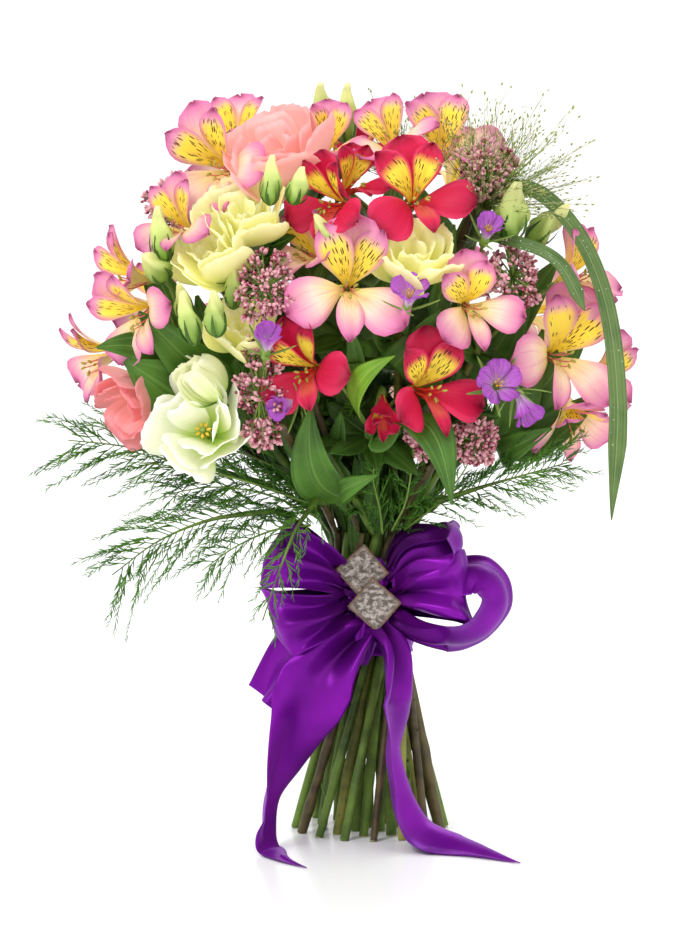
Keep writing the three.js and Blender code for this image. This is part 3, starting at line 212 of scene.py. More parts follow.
def ringFaces(rows, sides):  # the faces of a closed tube made of rings
    faces = []
    for a in range(0, (rows - 1) * sides, sides):
        for k in range(sides):
            n = (k + 1) % sides
            faces.append((a + k, a + n, a + sides + n, a + sides + k))
    return faces + [tuple(range(sides - 1, -1, -1)), tuple(range((rows - 1) * sides, rows * sides))]


def tube(clump, path, radii, paint, sides=6, tone=0.5, along=None):
    path = np.asarray(path, dtype=float)
    radii = np.broadcast_to(np.asarray(radii, dtype=float), (len(path),))
    tangent = slopes(path)
    guide = vec(0.3, 0.9, 0.2) if abs(tangent[0][1]) < 0.9 else vec(1, 0, 0)
    side = unit(np.cross(guide, tangent[0]))
    verts = []
    for point, direction, radius in zip(path, tangent, radii):
        side = unit(side - direction * side.dot(direction))
        other = np.cross(direction, side)
        for k in range(sides):
            a = 2 * math.pi * k / sides
            verts.append(point + radius * (math.cos(a) * side + math.sin(a) * other))
    t = np.repeat(np.linspace(0, 1, len(path)) if along is None else along, sides)
    clump.add(verts, ringFaces(len(path), sides), paint, 0.0, t, tone)


def bead(clump, centre, direction, radius, length, paint, sides=6, tone=0.5):
    path = [centre + unit(direction) * length * 0.5 * s for s in np.linspace(-1, 1, 5)]
    tube(clump, path, radius * np.array([0.25, 0.85, 1.0, 0.8, 0.2]), paint, sides, tone)


# Materials


def freshMaterial(name):
    material = bpy.data.materials.new(name)
    material.use_nodes = True
    material.node_tree.nodes.clear()
    return material, material.node_tree


def isSocket(value):
    return isinstance(value, bpy.types.NodeSocket)


def plug(tree, socket, value):
    if isSocket(value):
        tree.links.new(value, socket)
    else:
        socket.default_value = value


def add(tree, kind, inputs=None, **settings):
    made = tree.nodes.new(kind)
    for key, value in settings.items():
        setattr(made, key, value)
    for key, value in (inputs or {}).items():
        plug(tree, made.inputs[key], value)
    return made


def facts(tree, *names):
    return [add(tree, "ShaderNodeAttribute", attribute_name=name).outputs["Fac"] for name in names]


def maths(tree, operation, a, b=0.0):
    return add(tree, "ShaderNodeMath", {0: a, 1: b}, operation=operation).outputs[0]


def times(tree, first, *others):
    for other in others:
        first = maths(tree, "MULTIPLY", first, other)
    return first


def between(tree, value, low, high):
    span = {"Value": value, "From Min": low, "From Max": high}
    return add(tree, "ShaderNodeMapRange", span, interpolation_type="SMOOTHSTEP").outputs["Result"]


def rgba(colour):
    return (*[c / 12.92 if c <= 0.04045 else ((c + 0.055) / 1.055) ** 2.4 for c in colour], 1.0)


def ramp(tree, value, stops):
    made = add(tree, "ShaderNodeValToRGB", {"Fac": value})
    band = made.color_ramp
    while len(band.elements) < len(stops):
        band.elements.new(0.5)
    for element, (position, colour) in zip(band.elements, stops):
        element.position = position
        element.color = rgba(colour)
    return made.outputs["Color"]


def mixed(tree, factor, a, b):
    a, b = (colour if isSocket(colour) else rgba(colour) for colour in (a, b))
    return add(tree, "ShaderNodeMix", {0: factor, 6: a, 7: b}, data_type="RGBA").outputs[2]


def noise(tree, vector, scale, detail=2.0):
    return add(tree, "ShaderNodeTexNoise", {"Vector": vector, "Scale": scale, "Detail": detail}).outputs["Fac"]


def surfacePlace(tree, *scales):  # a spot on a petal or leaf, where the tone keeps their patterns different
    values = (times(tree, value, scale) for value, scale in zip(facts(tree, "across", "along", "tone"), scales))
    return add(tree, "ShaderNodeCombineXYZ", dict(enumerate(values))).outputs[0]


def objectPlace(tree):
    return add(tree, "ShaderNodeTexCoord").outputs["Object"]


def finishSurface(tree, colour, roughness, bump=None, bumpDepth=0.0003, bumpStrength=0.6, glow=0.0, paintedGlow=0.0, more=None):
    looks = {"Base Color": colour, "Roughness": roughness, "Specular IOR Level": 0.35, **(more or {})}
    if paintedGlow:  # painted glow: the petals' own colour given off as emission, standing in for the light that thin petals pass on to each other
        looks.update({"Emission Color": colour, "Emission Strength": paintedGlow})
    if bump is not None:
        relief = {"Height": bump, "Strength": bumpStrength, "Distance": bumpDepth}
        looks["Normal"] = add(tree, "ShaderNodeBump", relief).outputs["Normal"]
    surface = add(tree, "ShaderNodeBsdfPrincipled", looks).outputs["BSDF"]
    if glow:
        lit = add(tree, "ShaderNodeBsdfTranslucent", {"Color": colour}).outputs["BSDF"]
        surface = add(tree, "ShaderNodeMixShader", {"Fac": glow, 1: surface, 2: lit}).outputs["Shader"]
    add(tree, "ShaderNodeOutputMaterial", {"Surface": surface})


def petalMaterial(name, stops, edge=None, veins=None, flecks=None, warm=None, pale=None,
                  glow=0.28, roughness=0.5, paintedGlow=0.1):
    material, tree = freshMaterial(name)
    along, across, tone, ring = facts(tree, "along", "across", "tone", "ring")
    aside = maths(tree, "ABSOLUTE", across)
    colour = ramp(tree, along, stops)
    if pale:  # some of the small shapes are much paler
        colour = mixed(tree, times(tree, between(tree, tone, 0.42, 0.56), 0.85), colour, pale)
    if warm:  # a warmer middle on the inner petals
        reach = between(tree, along, *warm["fade"]), between(tree, aside, *warm["sides"])
        colour = mixed(tree, times(tree, *reach, ring, warm["amount"]), colour, warm["colour"])
    if edge:
        reach = between(tree, aside, *edge["sides"]), between(tree, along, *edge["along"])
        colour = mixed(tree, times(tree, *reach, edge["amount"]), colour, edge["colour"])
    lines = noise(tree, surfacePlace(tree, 9.0, 0.9, 40.0), 1.6, 3.0)
    if veins:
        share = times(tree, between(tree, lines, *veins["cut"]), veins["amount"])
        colour = mixed(tree, share, colour, veins["colour"])
    blotch = noise(tree, objectPlace(tree), 60.0, 3.0)
    shade = maths(tree, "ADD", times(tree, tone, 0.16), times(tree, blotch, 0.12))
    bright = maths(tree, "ADD", shade, 0.86)
    colour = add(tree, "ShaderNodeHueSaturation", {"Color": colour, "Value": bright}).outputs["Color"]
    if flecks:
        cells = surfacePlace(tree, flecks["wide"], flecks["long"], 30.0)
        spot = add(tree, "ShaderNodeTexVoronoi", {"Vector": cells, "Scale": 1.0, "Randomness": 0.8})
        dash = between(tree, spot.outputs["Distance"], flecks["size"] + 0.06, flecks["size"])
        zone = times(tree, between(tree, along, 0.2, 0.3), between(tree, along, flecks["end"] + 0.05, flecks["end"]),
                     between(tree, aside, 0.86, 0.7))
        colour = mixed(tree, times(tree, dash, zone, ring), colour, flecks["colour"])
    finishSurface(tree, colour, roughness, lines, 0.0004, glow=glow, paintedGlow=paintedGlow)
    return material


def greenMaterial(name, dark, light, rib=None, glow=0.15, roughness=0.45, grain=90.0, tipColour=None):
    material, tree = freshMaterial(name)
    along, across, tone = facts(tree, "along", "across", "tone")
    patch = noise(tree, objectPlace(tree), grain, 4.0)
    share = maths(tree, "ADD", times(tree, between(tree, patch, 0.3, 0.7), 0.55), times(tree, tone, 0.45))
    colour = mixed(tree, share, dark, light)
    lines = noise(tree, surfacePlace(tree, 8.0, 0.4, 20.0), 1.8, 2.0)
    if rib:
        middle = between(tree, maths(tree, "ABSOLUTE", across), 0.1, 0.02)
        colour = mixed(tree, times(tree, middle, 0.6), colour, rib)
        colour = mixed(tree, times(tree, between(tree, lines, 0.45, 0.62), 0.25), colour, rib)
    if tipColour:
        colour = mixed(tree, between(tree, along, 0.55, 1.0), colour, tipColour)
    finishSurface(tree, colour, roughness, lines if rib else patch, 0.0005, glow=glow)
    return material


paints = {
    "pink": petalMaterial(
        "pink_tepals",
        [(0.0, (0.74, 0.82, 0.4)), (0.16, (0.97, 0.9, 0.55)), (0.42, (1.0, 0.92, 0.68)), (0.68, (0.99, 0.86, 0.8)),
         (0.92, (0.9, 0.55, 0.72)), (1.0, (0.7, 0.28, 0.48))],
        edge={"sides": (0.5, 0.98), "along": (0.34, 0.8), "amount": 0.78, "colour": (0.9, 0.5, 0.7)},
        veins={"cut": (0.52, 0.7), "amount": 0.35, "colour": (0.86, 0.44, 0.62)},
        warm={"fade": (0.9, 0.74), "sides": (1.0, 0.78), "amount": 0.97, "colour": (1.0, 0.91, 0.28)},
        flecks={"wide": 8.5, "long": 6.5, "size": 0.26, "end": 0.84, "colour": (0.3, 0.05, 0.08)}),
    "crimson": petalMaterial(
        "crimson_tepals",
        [(0.0, (0.6, 0.5, 0.2)), (0.15, (0.82, 0.22, 0.24)), (0.45, (0.88, 0.12, 0.3)), (0.85, (0.84, 0.08, 0.3)),
         (1.0, (0.6, 0.03, 0.2))],
        edge={"sides": (0.5, 1.0), "along": (0.2, 0.7), "amount": 0.5, "colour": (0.95, 0.26, 0.46)},
        veins={"cut": (0.5, 0.7), "amount": 0.35, "colour": (0.68, 0.03, 0.2)},
        warm={"fade": (0.84, 0.68), "sides": (0.95, 0.7), "amount": 0.97, "colour": (1.0, 0.93, 0.3)},
        flecks={"wide": 8.5, "long": 6.5, "size": 0.27, "end": 0.82, "colour": (0.25, 0.02, 0.05)}),
    "cream": petalMaterial(
        "cream_petals",
        [(0.0, (0.72, 0.8, 0.36)), (0.3, (0.92, 0.93, 0.6)), (0.65, (0.97, 0.96, 0.68)), (1.0, (0.98, 0.97, 0.8))],
        veins={"cut": (0.5, 0.72), "amount": 0.15, "colour": (0.9, 0.9, 0.5)}, glow=0.3, paintedGlow=0.12),
    "white": petalMaterial(
        "white_petals",
        [(0.0, (0.66, 0.82, 0.3)), (0.3, (0.86, 0.93, 0.55)), (0.55, (0.96, 0.97, 0.86)), (1.0, (0.99, 0.99, 0.95))],
        veins={"cut": (0.5, 0.72), "amount": 0.1, "colour": (0.9, 0.95, 0.72)}, glow=0.25, paintedGlow=0.12),
    "half": petalMaterial(
        "half_open_petals",
        [(0.0, (0.62, 0.78, 0.3)), (0.3, (0.84, 0.91, 0.55)), (0.65, (0.93, 0.95, 0.74)), (1.0, (0.97, 0.97, 0.84))],
        veins={"cut": (0.5, 0.72), "amount": 0.15, "colour": (0.8, 0.88, 0.5)}, glow=0.2, paintedGlow=0.08),
    "salmon": petalMaterial(
        "salmon_petals",
        [(0.0, (0.94, 0.92, 0.7)), (0.3, (0.99, 0.87, 0.78)), (0.7, (0.99, 0.83, 0.79)), (1.0, (0.98, 0.76, 0.75))],
        veins={"cut": (0.5, 0.72), "amount": 0.2, "colour": (0.97, 0.7, 0.68)}, glow=0.3, paintedGlow=0.12),
    "coral": petalMaterial(
        "coral_petals",
        [(0.0, (0.92, 0.88, 0.62)), (0.3, (0.98, 0.8, 0.72)), (0.7, (0.97, 0.72, 0.69)), (1.0, (0.95, 0.62, 0.64))],
        veins={"cut": (0.5, 0.72), "amount": 0.25, "colour": (0.9, 0.46, 0.5)}, glow=0.3, paintedGlow=0.1),
    "violet": petalMaterial(
        "violet_petals",
        [(0.0, (0.92, 0.92, 0.8)), (0.3, (0.93, 0.82, 0.94)), (0.6, (0.82, 0.52, 0.87)), (1.0, (0.72, 0.33, 0.78))],
        veins={"cut": (0.5, 0.62), "amount": 0.6, "colour": (0.45, 0.1, 0.52)}, glow=0.3),
    "budGreen": petalMaterial(
        "bud_skin",
        [(0.0, (0.3, 0.48, 0.14)), (0.25, (0.56, 0.7, 0.3)), (0.6, (0.8, 0.86, 0.5)), (1.0, (0.95, 0.93, 0.66))],
        veins={"cut": (0.5, 0.7), "amount": 0.35, "colour": (0.32, 0.5, 0.14)}, glow=0.2, roughness=0.4),
    "rice": petalMaterial(
        "rice_buds",
        [(0.0, (0.46, 0.4, 0.2)), (0.25, (0.46, 0.17, 0.23)), (0.6, (0.68, 0.3, 0.4)), (1.0, (0.9, 0.6, 0.66))],
        pale=(0.9, 0.7, 0.72), glow=0.15, roughness=0.6),
    "stem": greenMaterial("cut_stems", (0.12, 0.22, 0.05), (0.44, 0.56, 0.2), glow=0.0, grain=55.0),
    "olive": greenMaterial("olive_stems", (0.22, 0.26, 0.08), (0.6, 0.6, 0.26), glow=0.0, grain=60.0),
    "woody": greenMaterial("woody_stems", (0.14, 0.11, 0.06), (0.4, 0.35, 0.2), glow=0.0, grain=90.0),
    "twig": greenMaterial("thin_green_stalks", (0.36, 0.5, 0.18), (0.56, 0.68, 0.32), glow=0.0, grain=70.0),
    "leaf": greenMaterial("flower_leaves", (0.07, 0.2, 0.05), (0.33, 0.52, 0.15), rib=(0.46, 0.63, 0.28), grain=40.0),
    "brightLeaf": greenMaterial("bright_leaves", (0.3, 0.5, 0.1), (0.55, 0.73, 0.2), rib=(0.68, 0.82, 0.36),
                                grain=40.0, glow=0.25),
    "fern": greenMaterial("fern_needles", (0.18, 0.4, 0.1), (0.44, 0.66, 0.22), glow=0.2, grain=40.0),
    "grass": greenMaterial("grass_hairs", (0.4, 0.52, 0.18), (0.62, 0.7, 0.36), glow=0.1, grain=60.0,
                           tipColour=(0.86, 0.8, 0.6)),
    "strap": greenMaterial("strap_leaf", (0.25, 0.37, 0.15), (0.45, 0.55, 0.3), rib=(0.58, 0.68, 0.44), grain=50.0),
    "anther": greenMaterial("anthers", (0.5, 0.46, 0.16), (0.76, 0.7, 0.28), glow=0.0, grain=300.0),
    "yolk": greenMaterial("yellow_stamens", (0.9, 0.72, 0.16), (0.98, 0.86, 0.36), glow=0.1, grain=300.0),
    "filament": greenMaterial("filaments", (0.86, 0.45, 0.5), (0.96, 0.66, 0.55), glow=0.15, grain=200.0),
    "redFilament": greenMaterial("red_filaments", (0.85, 0.18, 0.16), (0.95, 0.36, 0.2), glow=0.15, grain=200.0),
    "cutEnd": greenMaterial("cut_ends", (0.66, 0.66, 0.4), (0.82, 0.8, 0.58), glow=0.0, grain=400.0),
}
print("materials made")

# Scattering small shapes with Geometry Nodes


def floatSocket(sockets, name="Value"):
    return next(s for s in sockets if s.type == "VALUE" and s.name == name)


def randomValue(tree, seed, low=0.0, high=1.0):
    made = add(tree, "FunctionNodeRandomValue", {"Seed": seed}, data_type="FLOAT")
    plug(tree, floatSocket(made.inputs, "Min"), low)
    plug(tree, floatSocket(made.inputs, "Max"), high)
    return floatSocket(made.outputs)


def scatterTree():
    tree = bpy.data.node_groups.new("scatterOnPoints", "GeometryNodeTree")
    tree.interface.new_socket("Geometry", in_out="INPUT", socket_type="NodeSocketGeometry")
    for label, kind in (("Shape", "Object"), ("Variation", "Float"), ("Seed", "Int")):
        tree.interface.new_socket(label, in_out="INPUT", socket_type="NodeSocket" + kind)
    tree.interface.new_socket("Geometry", in_out="OUTPUT", socket_type="NodeSocketGeometry")
    start = tree.nodes.new("NodeGroupInput").outputs
    aim = add(tree, "GeometryNodeInputNamedAttribute", {"Name": "aim"}, data_type="FLOAT_VECTOR")
    big = add(tree, "GeometryNodeInputNamedAttribute", {"Name": "big"}, data_type="FLOAT")
    shape = add(tree, "GeometryNodeObjectInfo", {"Object": start["Shape"]})
    align = add(tree, "FunctionNodeAlignRotationToVector", {"Vector": aim.outputs[0]}, axis="Z")
    fullTurn = 6.283
    spinAngle = randomValue(tree, start["Seed"], 0.0, fullTurn)
    spin = add(tree, "FunctionNodeAxisAngleToRotation", {"Axis": (0, 0, 1), "Angle": spinAngle})
    both = {"Rotation": align.outputs[0], "Rotate By": spin.outputs[0]}
    rotation = add(tree, "FunctionNodeRotateRotation", both, rotation_space="LOCAL").outputs[0]
    low = maths(tree, "SUBTRACT", 1.0, start["Variation"])
    high = maths(tree, "ADD", 1.0, start["Variation"])
    scale = times(tree, big.outputs[0], randomValue(tree, start["Seed"], low, high))
    copies = add(tree, "GeometryNodeInstanceOnPoints", {
        "Points": start["Geometry"], "Instance": shape.outputs["Geometry"], "Rotation": rotation, "Scale": scale})
    marked = add(tree, "GeometryNodeStoreNamedAttribute", {"Geometry": copies.outputs[0], "Name": "tone"},
                 data_type="FLOAT", domain="INSTANCE")
    plug(tree, floatSocket(marked.inputs), randomValue(tree, start["Seed"]))
    real = add(tree, "GeometryNodeRealizeInstances", {"Geometry": marked.outputs[0]})
    tree.links.new(real.outputs[0], tree.nodes.new("NodeGroupOutput").inputs[0])
    return tree


scatterGroup = scatterTree()


def dropShape(name, profile, sides):  # a small closed drop along +Z, its length 1
    clump = Clump()
    tube(clump, [vec(0, 0, z) for _, z in profile], [r for r, _ in profile], 0, sides)
    mesh = bpy.data.meshes.new(name)
    mesh.from_pydata(np.concatenate(clump.verts).tolist(), [], clump.faces)
    storeFact(mesh, "along", np.concatenate(clump.facts["along"]))
    return bpy.data.objects.new(name, mesh)


shapes = {
    "riceBud": dropShape("rice_bud", [(0.1, 0.0), (0.34, 0.5), (0.25, 0.84), (0.06, 1.0)], 4),
    "needle": dropShape("fern_needle", [(0.05, 0.0), (0.065, 0.4), (0.012, 1.0)], 3),
    "seed": dropShape("grass_seed", [(0.08, 0.0), (0.26, 0.4), (0.05, 1.0)], 4),
}


def mark(spots, point, aim, size):  # a place where a small shape is set later
    for store, value in zip(spots, (point, aim, size)):
        store.append(value)


def scatter(clump, spots, shape, paint, variation=0.15, seed=1):
    points, aims, sizes = (np.asarray(values, dtype=float) for values in spots)
    mesh = bpy.data.meshes.new("spots")
    mesh.from_pydata((points * 0.001).tolist(), [], [])
    storeFact(mesh, "aim", aims.reshape(-1), "FLOAT_VECTOR")
    storeFact(mesh, "big", sizes * 0.001)
    holder = newObject("spots", mesh)
    layer = holder.modifiers.new("scatter", "NODES")
    layer.node_group = scatterGroup
    values = {"Shape": shapes[shape], "Variation": variation, "Seed": seed}
    for item in scatterGroup.interface.items_tree:
        if item.in_out == "INPUT" and item.name in values:
            layer[item.identifier] = values[item.name]
    holder.update_tag()
    verts, faces, made = baked(holder)
    clump.add(verts, faces, paint, **made)


# Petals, each outline as pairs of place along the petal and share of its half width

outlines = {
    "tepal": [(0, 0.1), (0.15, 0.14), (0.3, 0.26), (0.42, 0.44), (0.55, 0.68), (0.66, 0.88), (0.76, 0.99),
              (0.84, 1.0), (0.91, 0.86), (0.96, 0.6), (0.985, 0.32), (1, 0.12)],
    "lance": [(0, 0.1), (0.15, 0.16), (0.3, 0.32), (0.45, 0.56), (0.6, 0.84), (0.72, 0.99), (0.82, 0.94),
              (0.9, 0.72), (0.96, 0.42), (1, 0.08)],
    "fan": [(0, 0.14), (0.12, 0.26), (0.28, 0.52), (0.45, 0.76), (0.62, 0.94), (0.78, 1.0), (0.9, 0.94), (1, 0.74)],
    "spoon": [(0, 0.16), (0.3, 0.3), (0.55, 0.6), (0.8, 1.0), (0.93, 0.86), (1, 0.5)],
    "needle": [(0, 0.8), (0.5, 1.0), (0.9, 0.5), (1, 0.1)],
    "bud": [(0, 0.3), (0.08, 0.62), (0.2, 0.86), (0.36, 0.93), (0.52, 0.82), (0.68, 0.64), (0.82, 0.46),
            (0.93, 0.32), (1.0, 0.2)],
}


def outlineAt(outline, t):
    return np.interp(t, *zip(*outlines[outline]))


def swung(side, normal, angle):  # the pair turned about the blade's own run
    c, s = math.cos(angle), math.sin(angle)
    return c * side + s * normal, c * normal - s * side


def petal(clump, place, paint, bend, tip, half, outline, angle=0.0, shingle=15.0, cup=0.12, wave=0.0, waves=2.0,
          phase=0.0, frill=0.0, curl=0.0, thickness=0.5, rows=13, columns=9, tone=0.5, ring=0.0):
    t = np.linspace(0.04, 1, rows)
    path = bent(vec(0, 1.2, 0), vec(0, *bend), vec(0, *tip), t)
    path[:, 1] += curl * t**4
    path[:, 2] -= 0.6 * abs(curl) * t**6
    tangent = slopes(path)
    w = half * outlineAt(outline, t)
    grid = np.zeros((rows, columns, 3))
    us = np.linspace(-1, 1, columns)
    for i in range(rows):
        side = vec(1, 0, 0)
        side, normal = swung(side, unit(np.cross(side, tangent[i])), math.radians(shingle))
        for j, u in enumerate(us):
            lift = cup * u * u * w[i] + wave * t[i] ** 2 * math.sin(math.pi * waves * u + phase + 3 * t[i])
            edge = frill * max(0.0, t[i] - 0.55) * 2.2 * math.sin(9.5 * math.pi * u + 2.3 * phase) * (0.4 + 0.6 * abs(u))
            grid[i, j] = path[i] + side * u * w[i] + normal * (lift + edge)
    if frill:  # a toothed rim
        for j, u in enumerate(us):
            grid[-1, j] += tangent[-1] * frill * (0.7 * math.sin(14 * u + phase) - 0.9 * u * u)
    c, s = math.cos(math.radians(angle)), math.sin(math.radians(angle))
    spin = np.array([[c, -s, 0], [s, c, 0], [0, 0, 1]])
    grid = turned(grid.reshape(-1, 3) @ spin.T, place).reshape(grid.shape)
    shell(clump, grid, thickness, paint, tone, ring, us, t)


def sepals(clump, place, paint, bend, tip, half, tones, first=36, thickness=0.6):  # five narrow green ones
    for i in range(5):
        petal(clump, place, paint, bend, tip, half, "needle", angle=first + 72 * i, shingle=0, thickness=thickness,
              rows=6, columns=3, tone=tones())


def stamen(clump, place, points, radii, paints, tones, aim, size):
    path = bent(*points, np.linspace(0, 1, len(radii)))
    tube(clump, turned(path, place), radii, paints[0], 4, tones[0])
    bead(clump, turned(path[-1:], place)[0], place[0] @ aim, *size, paints[1], 5, tones[1])


def throat(clump, place, heights, radii, tone):  # the green part in the middle of a bloom
    tube(clump, [turned(vec(0, 0, z)[None, :], place)[0] for z in heights], radii, 1, 8, tone)


def alstroemeria(clump, place, size, opened, seed, stalks):
    draw = random.Random(seed)
    size *= 1.05
    reach = size * (17 + 19 * opened)
    rise = size * (42 - 15 * opened)
    room = 0.68 + 0.32 * opened
    for i in range(6):
        outer = i % 2 == 0
        lowest = i == 3
        widest = (15.4 if outer else 8 if lowest else 10.5) * draw.uniform(0.88, 1.04)
        angle = {1: 33, 5: -33}.get(i, 60 * i)  # the two upper inner ones stand close together
        bend = size * (7.5 if outer else 5), size * 27
        tip = reach * (1 if outer else 0.86), rise + (0 if outer else 5)
        petal(clump, place, 0, bend, tip, size * room * widest, "tepal" if outer else "lance",
              angle=angle + draw.uniform(-6, 6), cup=0.1 if outer else 0.2, wave=size * draw.uniform(0.9, 1.9), waves=1.4,
              phase=draw.uniform(0, 6), curl=draw.uniform(-1, 4) * opened, thickness=0.55, tone=draw.random(),
              ring=0.0 if outer else 0.12 if lowest else 1.0, shingle=12, columns=9 if outer else 7)
    for i in range(6 if opened > 0.3 else 0):
        a = math.radians(60 * i + draw.uniform(-20, 20))
        tipAt = vec(4.5 * math.cos(a), 4 * math.sin(a) - 5, 27 + draw.uniform(-3, 4)) * size
        points = polar(a, 1.5, 4), (polar(a, 3, 16) - vec(0, 6, 0)) * size, tipAt
        stamen(clump, place, points, np.linspace(0.55, 0.4, 6), (stalks, 3), (draw.random(), draw.random()),
               unit(polar(a, 1, 0.8) - vec(0, 0.3, 0)), (1.0, 4.2))
    throat(clump, place, (-4.5, -2.5, 1, 5), [1.4, 2.6, 2.9, 1.2], 0.4)


def lisianthus(clump, place, size, opened, seed):
    draw = random.Random(seed)
    opened *= 0.78
    close = min(1.0, 0.42 + opened)  # a bloom that has hardly opened leans its petals in
    shut = 1 - opened
    whorls = [  # petals, first angle, bend, tip, half width and frill
        (5, 0, (17 + 5 * opened, 4 + 6 * shut), (close * (15 + 17 * opened), 41 - 9 * opened), 16 + 4 * opened, 2.4),
        (4, 40, (13 + 4 * opened, 5 + 4 * shut), (close * (11 + 12 * opened), 41 - 7 * opened), 13 + 3 * opened, 1.8),
        (3, 36, (8, 8), (7 + 8 * opened, 38 - 4 * opened), 11, 1.5),
        (3, 90, (4.5, 10), (3.5 + 5 * opened, 34 - 3 * opened), 8, 1.2),
    ]
    for ring, (count, first, bend, tip, half, frill) in enumerate(whorls[: 3 if opened > 0.72 else 4]):
        for i in range(count):
            petal(clump, place, 0, tuple(size * v for v in bend), tuple(size * v for v in tip), size * half, "fan",
                  angle=first + i * 360 / count + draw.uniform(-8, 8), shingle=17, cup=0.05,
                  wave=size * draw.uniform(0.6, 1.4), waves=draw.uniform(1.1, 1.7), phase=draw.uniform(0, 6.28),
                  frill=size * frill * 0.22, curl=draw.uniform(0.5, 4) * opened, thickness=0.55, columns=15,
                  tone=draw.random(), ring=ring / 3)
    for i in range(7):
        a = 2 * math.pi * i / 7
        points = polar(a, 1.5, 3), polar(a, 3, 10) * size, polar(a, 3.4, 15) * size
        stamen(clump, place, points, [0.4] * 4, (2, 2), (0.5, draw.random()), unit(polar(a, 1, 0.4)), (1.1, 4))
    throat(clump, place, (-3.4, -1.5, 2, 9 * size, 15 * size, 17 * size), [1.6, 3.2, 3.0, 1.8, 1.2, 1.9], 0.7)
    sepals(clump, place, 1, (size * 10, 2), (size * 17, size * 12), 1.6, lambda: 0.4, thickness=0.7)


def corncockle(clump, place, size, opened, seed):
    draw = random.Random(seed)
    for i in range(5):
        petal(clump, place, 0, (size * 4, size * 20), (size * (8 + 12 * opened), size * (30 - 8 * opened)),
              size * (6.6 + 2.9 * opened), "spoon", angle=72 * i, wave=size * 0.8, waves=1.2, phase=draw.uniform(0, 6),
              curl=draw.uniform(0, 2) * opened, rows=11, columns=7, tone=draw.random())
        petal(clump, place, 1, (size * 12, size * 6), (size * 24, size * 18), size * 1.5, "needle", angle=36 + 72 * i,
              shingle=0, thickness=0.8, rows=8, columns=3, tone=draw.uniform(0.6, 1))
    throat(clump, place, (-5, -2, 3, 8 * size), [1.4, 3.0, 3.2, 2.0], 0.6)
    for i in range(5 if opened > 0.25 else 0):
        points = vec(0, 0, 4), vec(0, 0, 12) * size, polar(math.radians(72 * i + 20), 2.5, 19) * size
        stamen(clump, place, points, [0.35] * 4, (2, 2), (0.5, 0.5), vec(0, 0, 1), (0.7, 2.4))


def bud(clump, foot, direction, length, radius, paint, calyx, seed):  # petals wound round each other
    draw = random.Random(seed)
    place = placed(foot, direction, draw.uniform(0, 180))
    length *= 1.16
    rows, sides = 16, 15
    verts, along = [], []
    for i in range(rows):
        h = i / (rows - 1)
        r = radius * outlineAt("bud", h)
        for k in range(sides):
            a = 2 * math.pi * k / sides
            groove = 1 + 0.32 * math.sin(3 * (a + 2.6 * h)) * min(1, 3 * h)
            verts.append(polar(a, r * groove, length * h))
            along.append(h)
    clump.add(turned(np.array(verts), place), ringFaces(rows, sides), paint, 0.0, along, draw.random())
    sepals(clump, place, calyx, (radius * 1.5, length * 0.12), (radius * 0.95, length * 0.55), radius * 0.22,
           draw.random, first=0)


def leafBlade(clump, base, bend, tip, half, paint, seed, fold=0.25, twist=0.0, rows=17, columns=9, front=None, tone=None):
    draw = random.Random(seed)
    t = np.linspace(0, 1, rows)
    path = bent(base, bend, tip, t)
    tangent = slopes(path)
    widest = int(rows * 0.6)
    if front is None:
        front = vec(path[widest][0], path[widest][1], 40)
    side0 = unit(np.cross(tangent[widest], front))
    grid = np.zeros((rows, columns, 3))
    us = np.linspace(-1, 1, columns)
    wavePhase = draw.uniform(0, 6)
    for i in range(rows):
        side = unit(side0 - tangent[i] * side0.dot(tangent[i]))
        side, normal = swung(side, np.cross(side, tangent[i]), twist * t[i])
        w = half * math.sin(math.pi * max(0.02, min(0.985, t[i])) ** 0.8) ** 0.8
        for j, u in enumerate(us):
            ripple = 0.09 * half * math.sin(7 * t[i] + wavePhase + (2 if u > 0 else 0)) * abs(u)
            grid[i, j] = path[i] + side * u * w + normal * (fold * abs(u) ** 1.3 * w + ripple)
    shell(clump, grid, 0.6, paint, draw.random() if tone is None else tone, 0.0, us, t)


# Greens that follow the frame's own solids

spiral = {"tilt": 0.0141, "waist": 150, "free": 192, "kept": 60}
blades = {"apart": 0.004, "above": 0.06, "shortest": 0.018}
inside = {"from": 196, "first": 198, "last": 400, "apart": 15, "low": 250, "high": 300}


def outwardOf(point):
    return unit(vec(point[0], point[1], 0))


def sidewaysOf(outward):
    return vec(-outward[1], outward[0], 0)


def looseCopy(node):
    copy = bmesh.new()
    copy.from_mesh(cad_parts[node].data)
    bmesh.ops.remove_doubles(copy, verts=copy.verts, dist=1e-6)
    return copy


def drop(copy, verts):
    bmesh.ops.delete(copy, geom=verts, context="VERTS")


def stemLine(copy):  # the straight line of the stem that the copy holds, found from its cut end
    low = [v.co * 1000 for v in copy.verts if v.co.z < 1e-5]
    foot = sum(low, Vector()) / len(low)
    far = spiral["waist"] * spiral["tilt"]
    radius = math.hypot(foot.x, foot.y) / math.hypot(1, far)
    angle = math.atan2(foot.y, foot.x) + math.atan(far)
    if radius < 1:
        radius, angle = 0.0, 0.0
    slope = radius * spiral["tilt"]
    c, s = math.cos(angle), math.sin(angle)
    return lambda z: vec(radius * c - s * slope * (z - spiral["waist"]),
                         radius * s + c * slope * (z - spiral["waist"]), z)


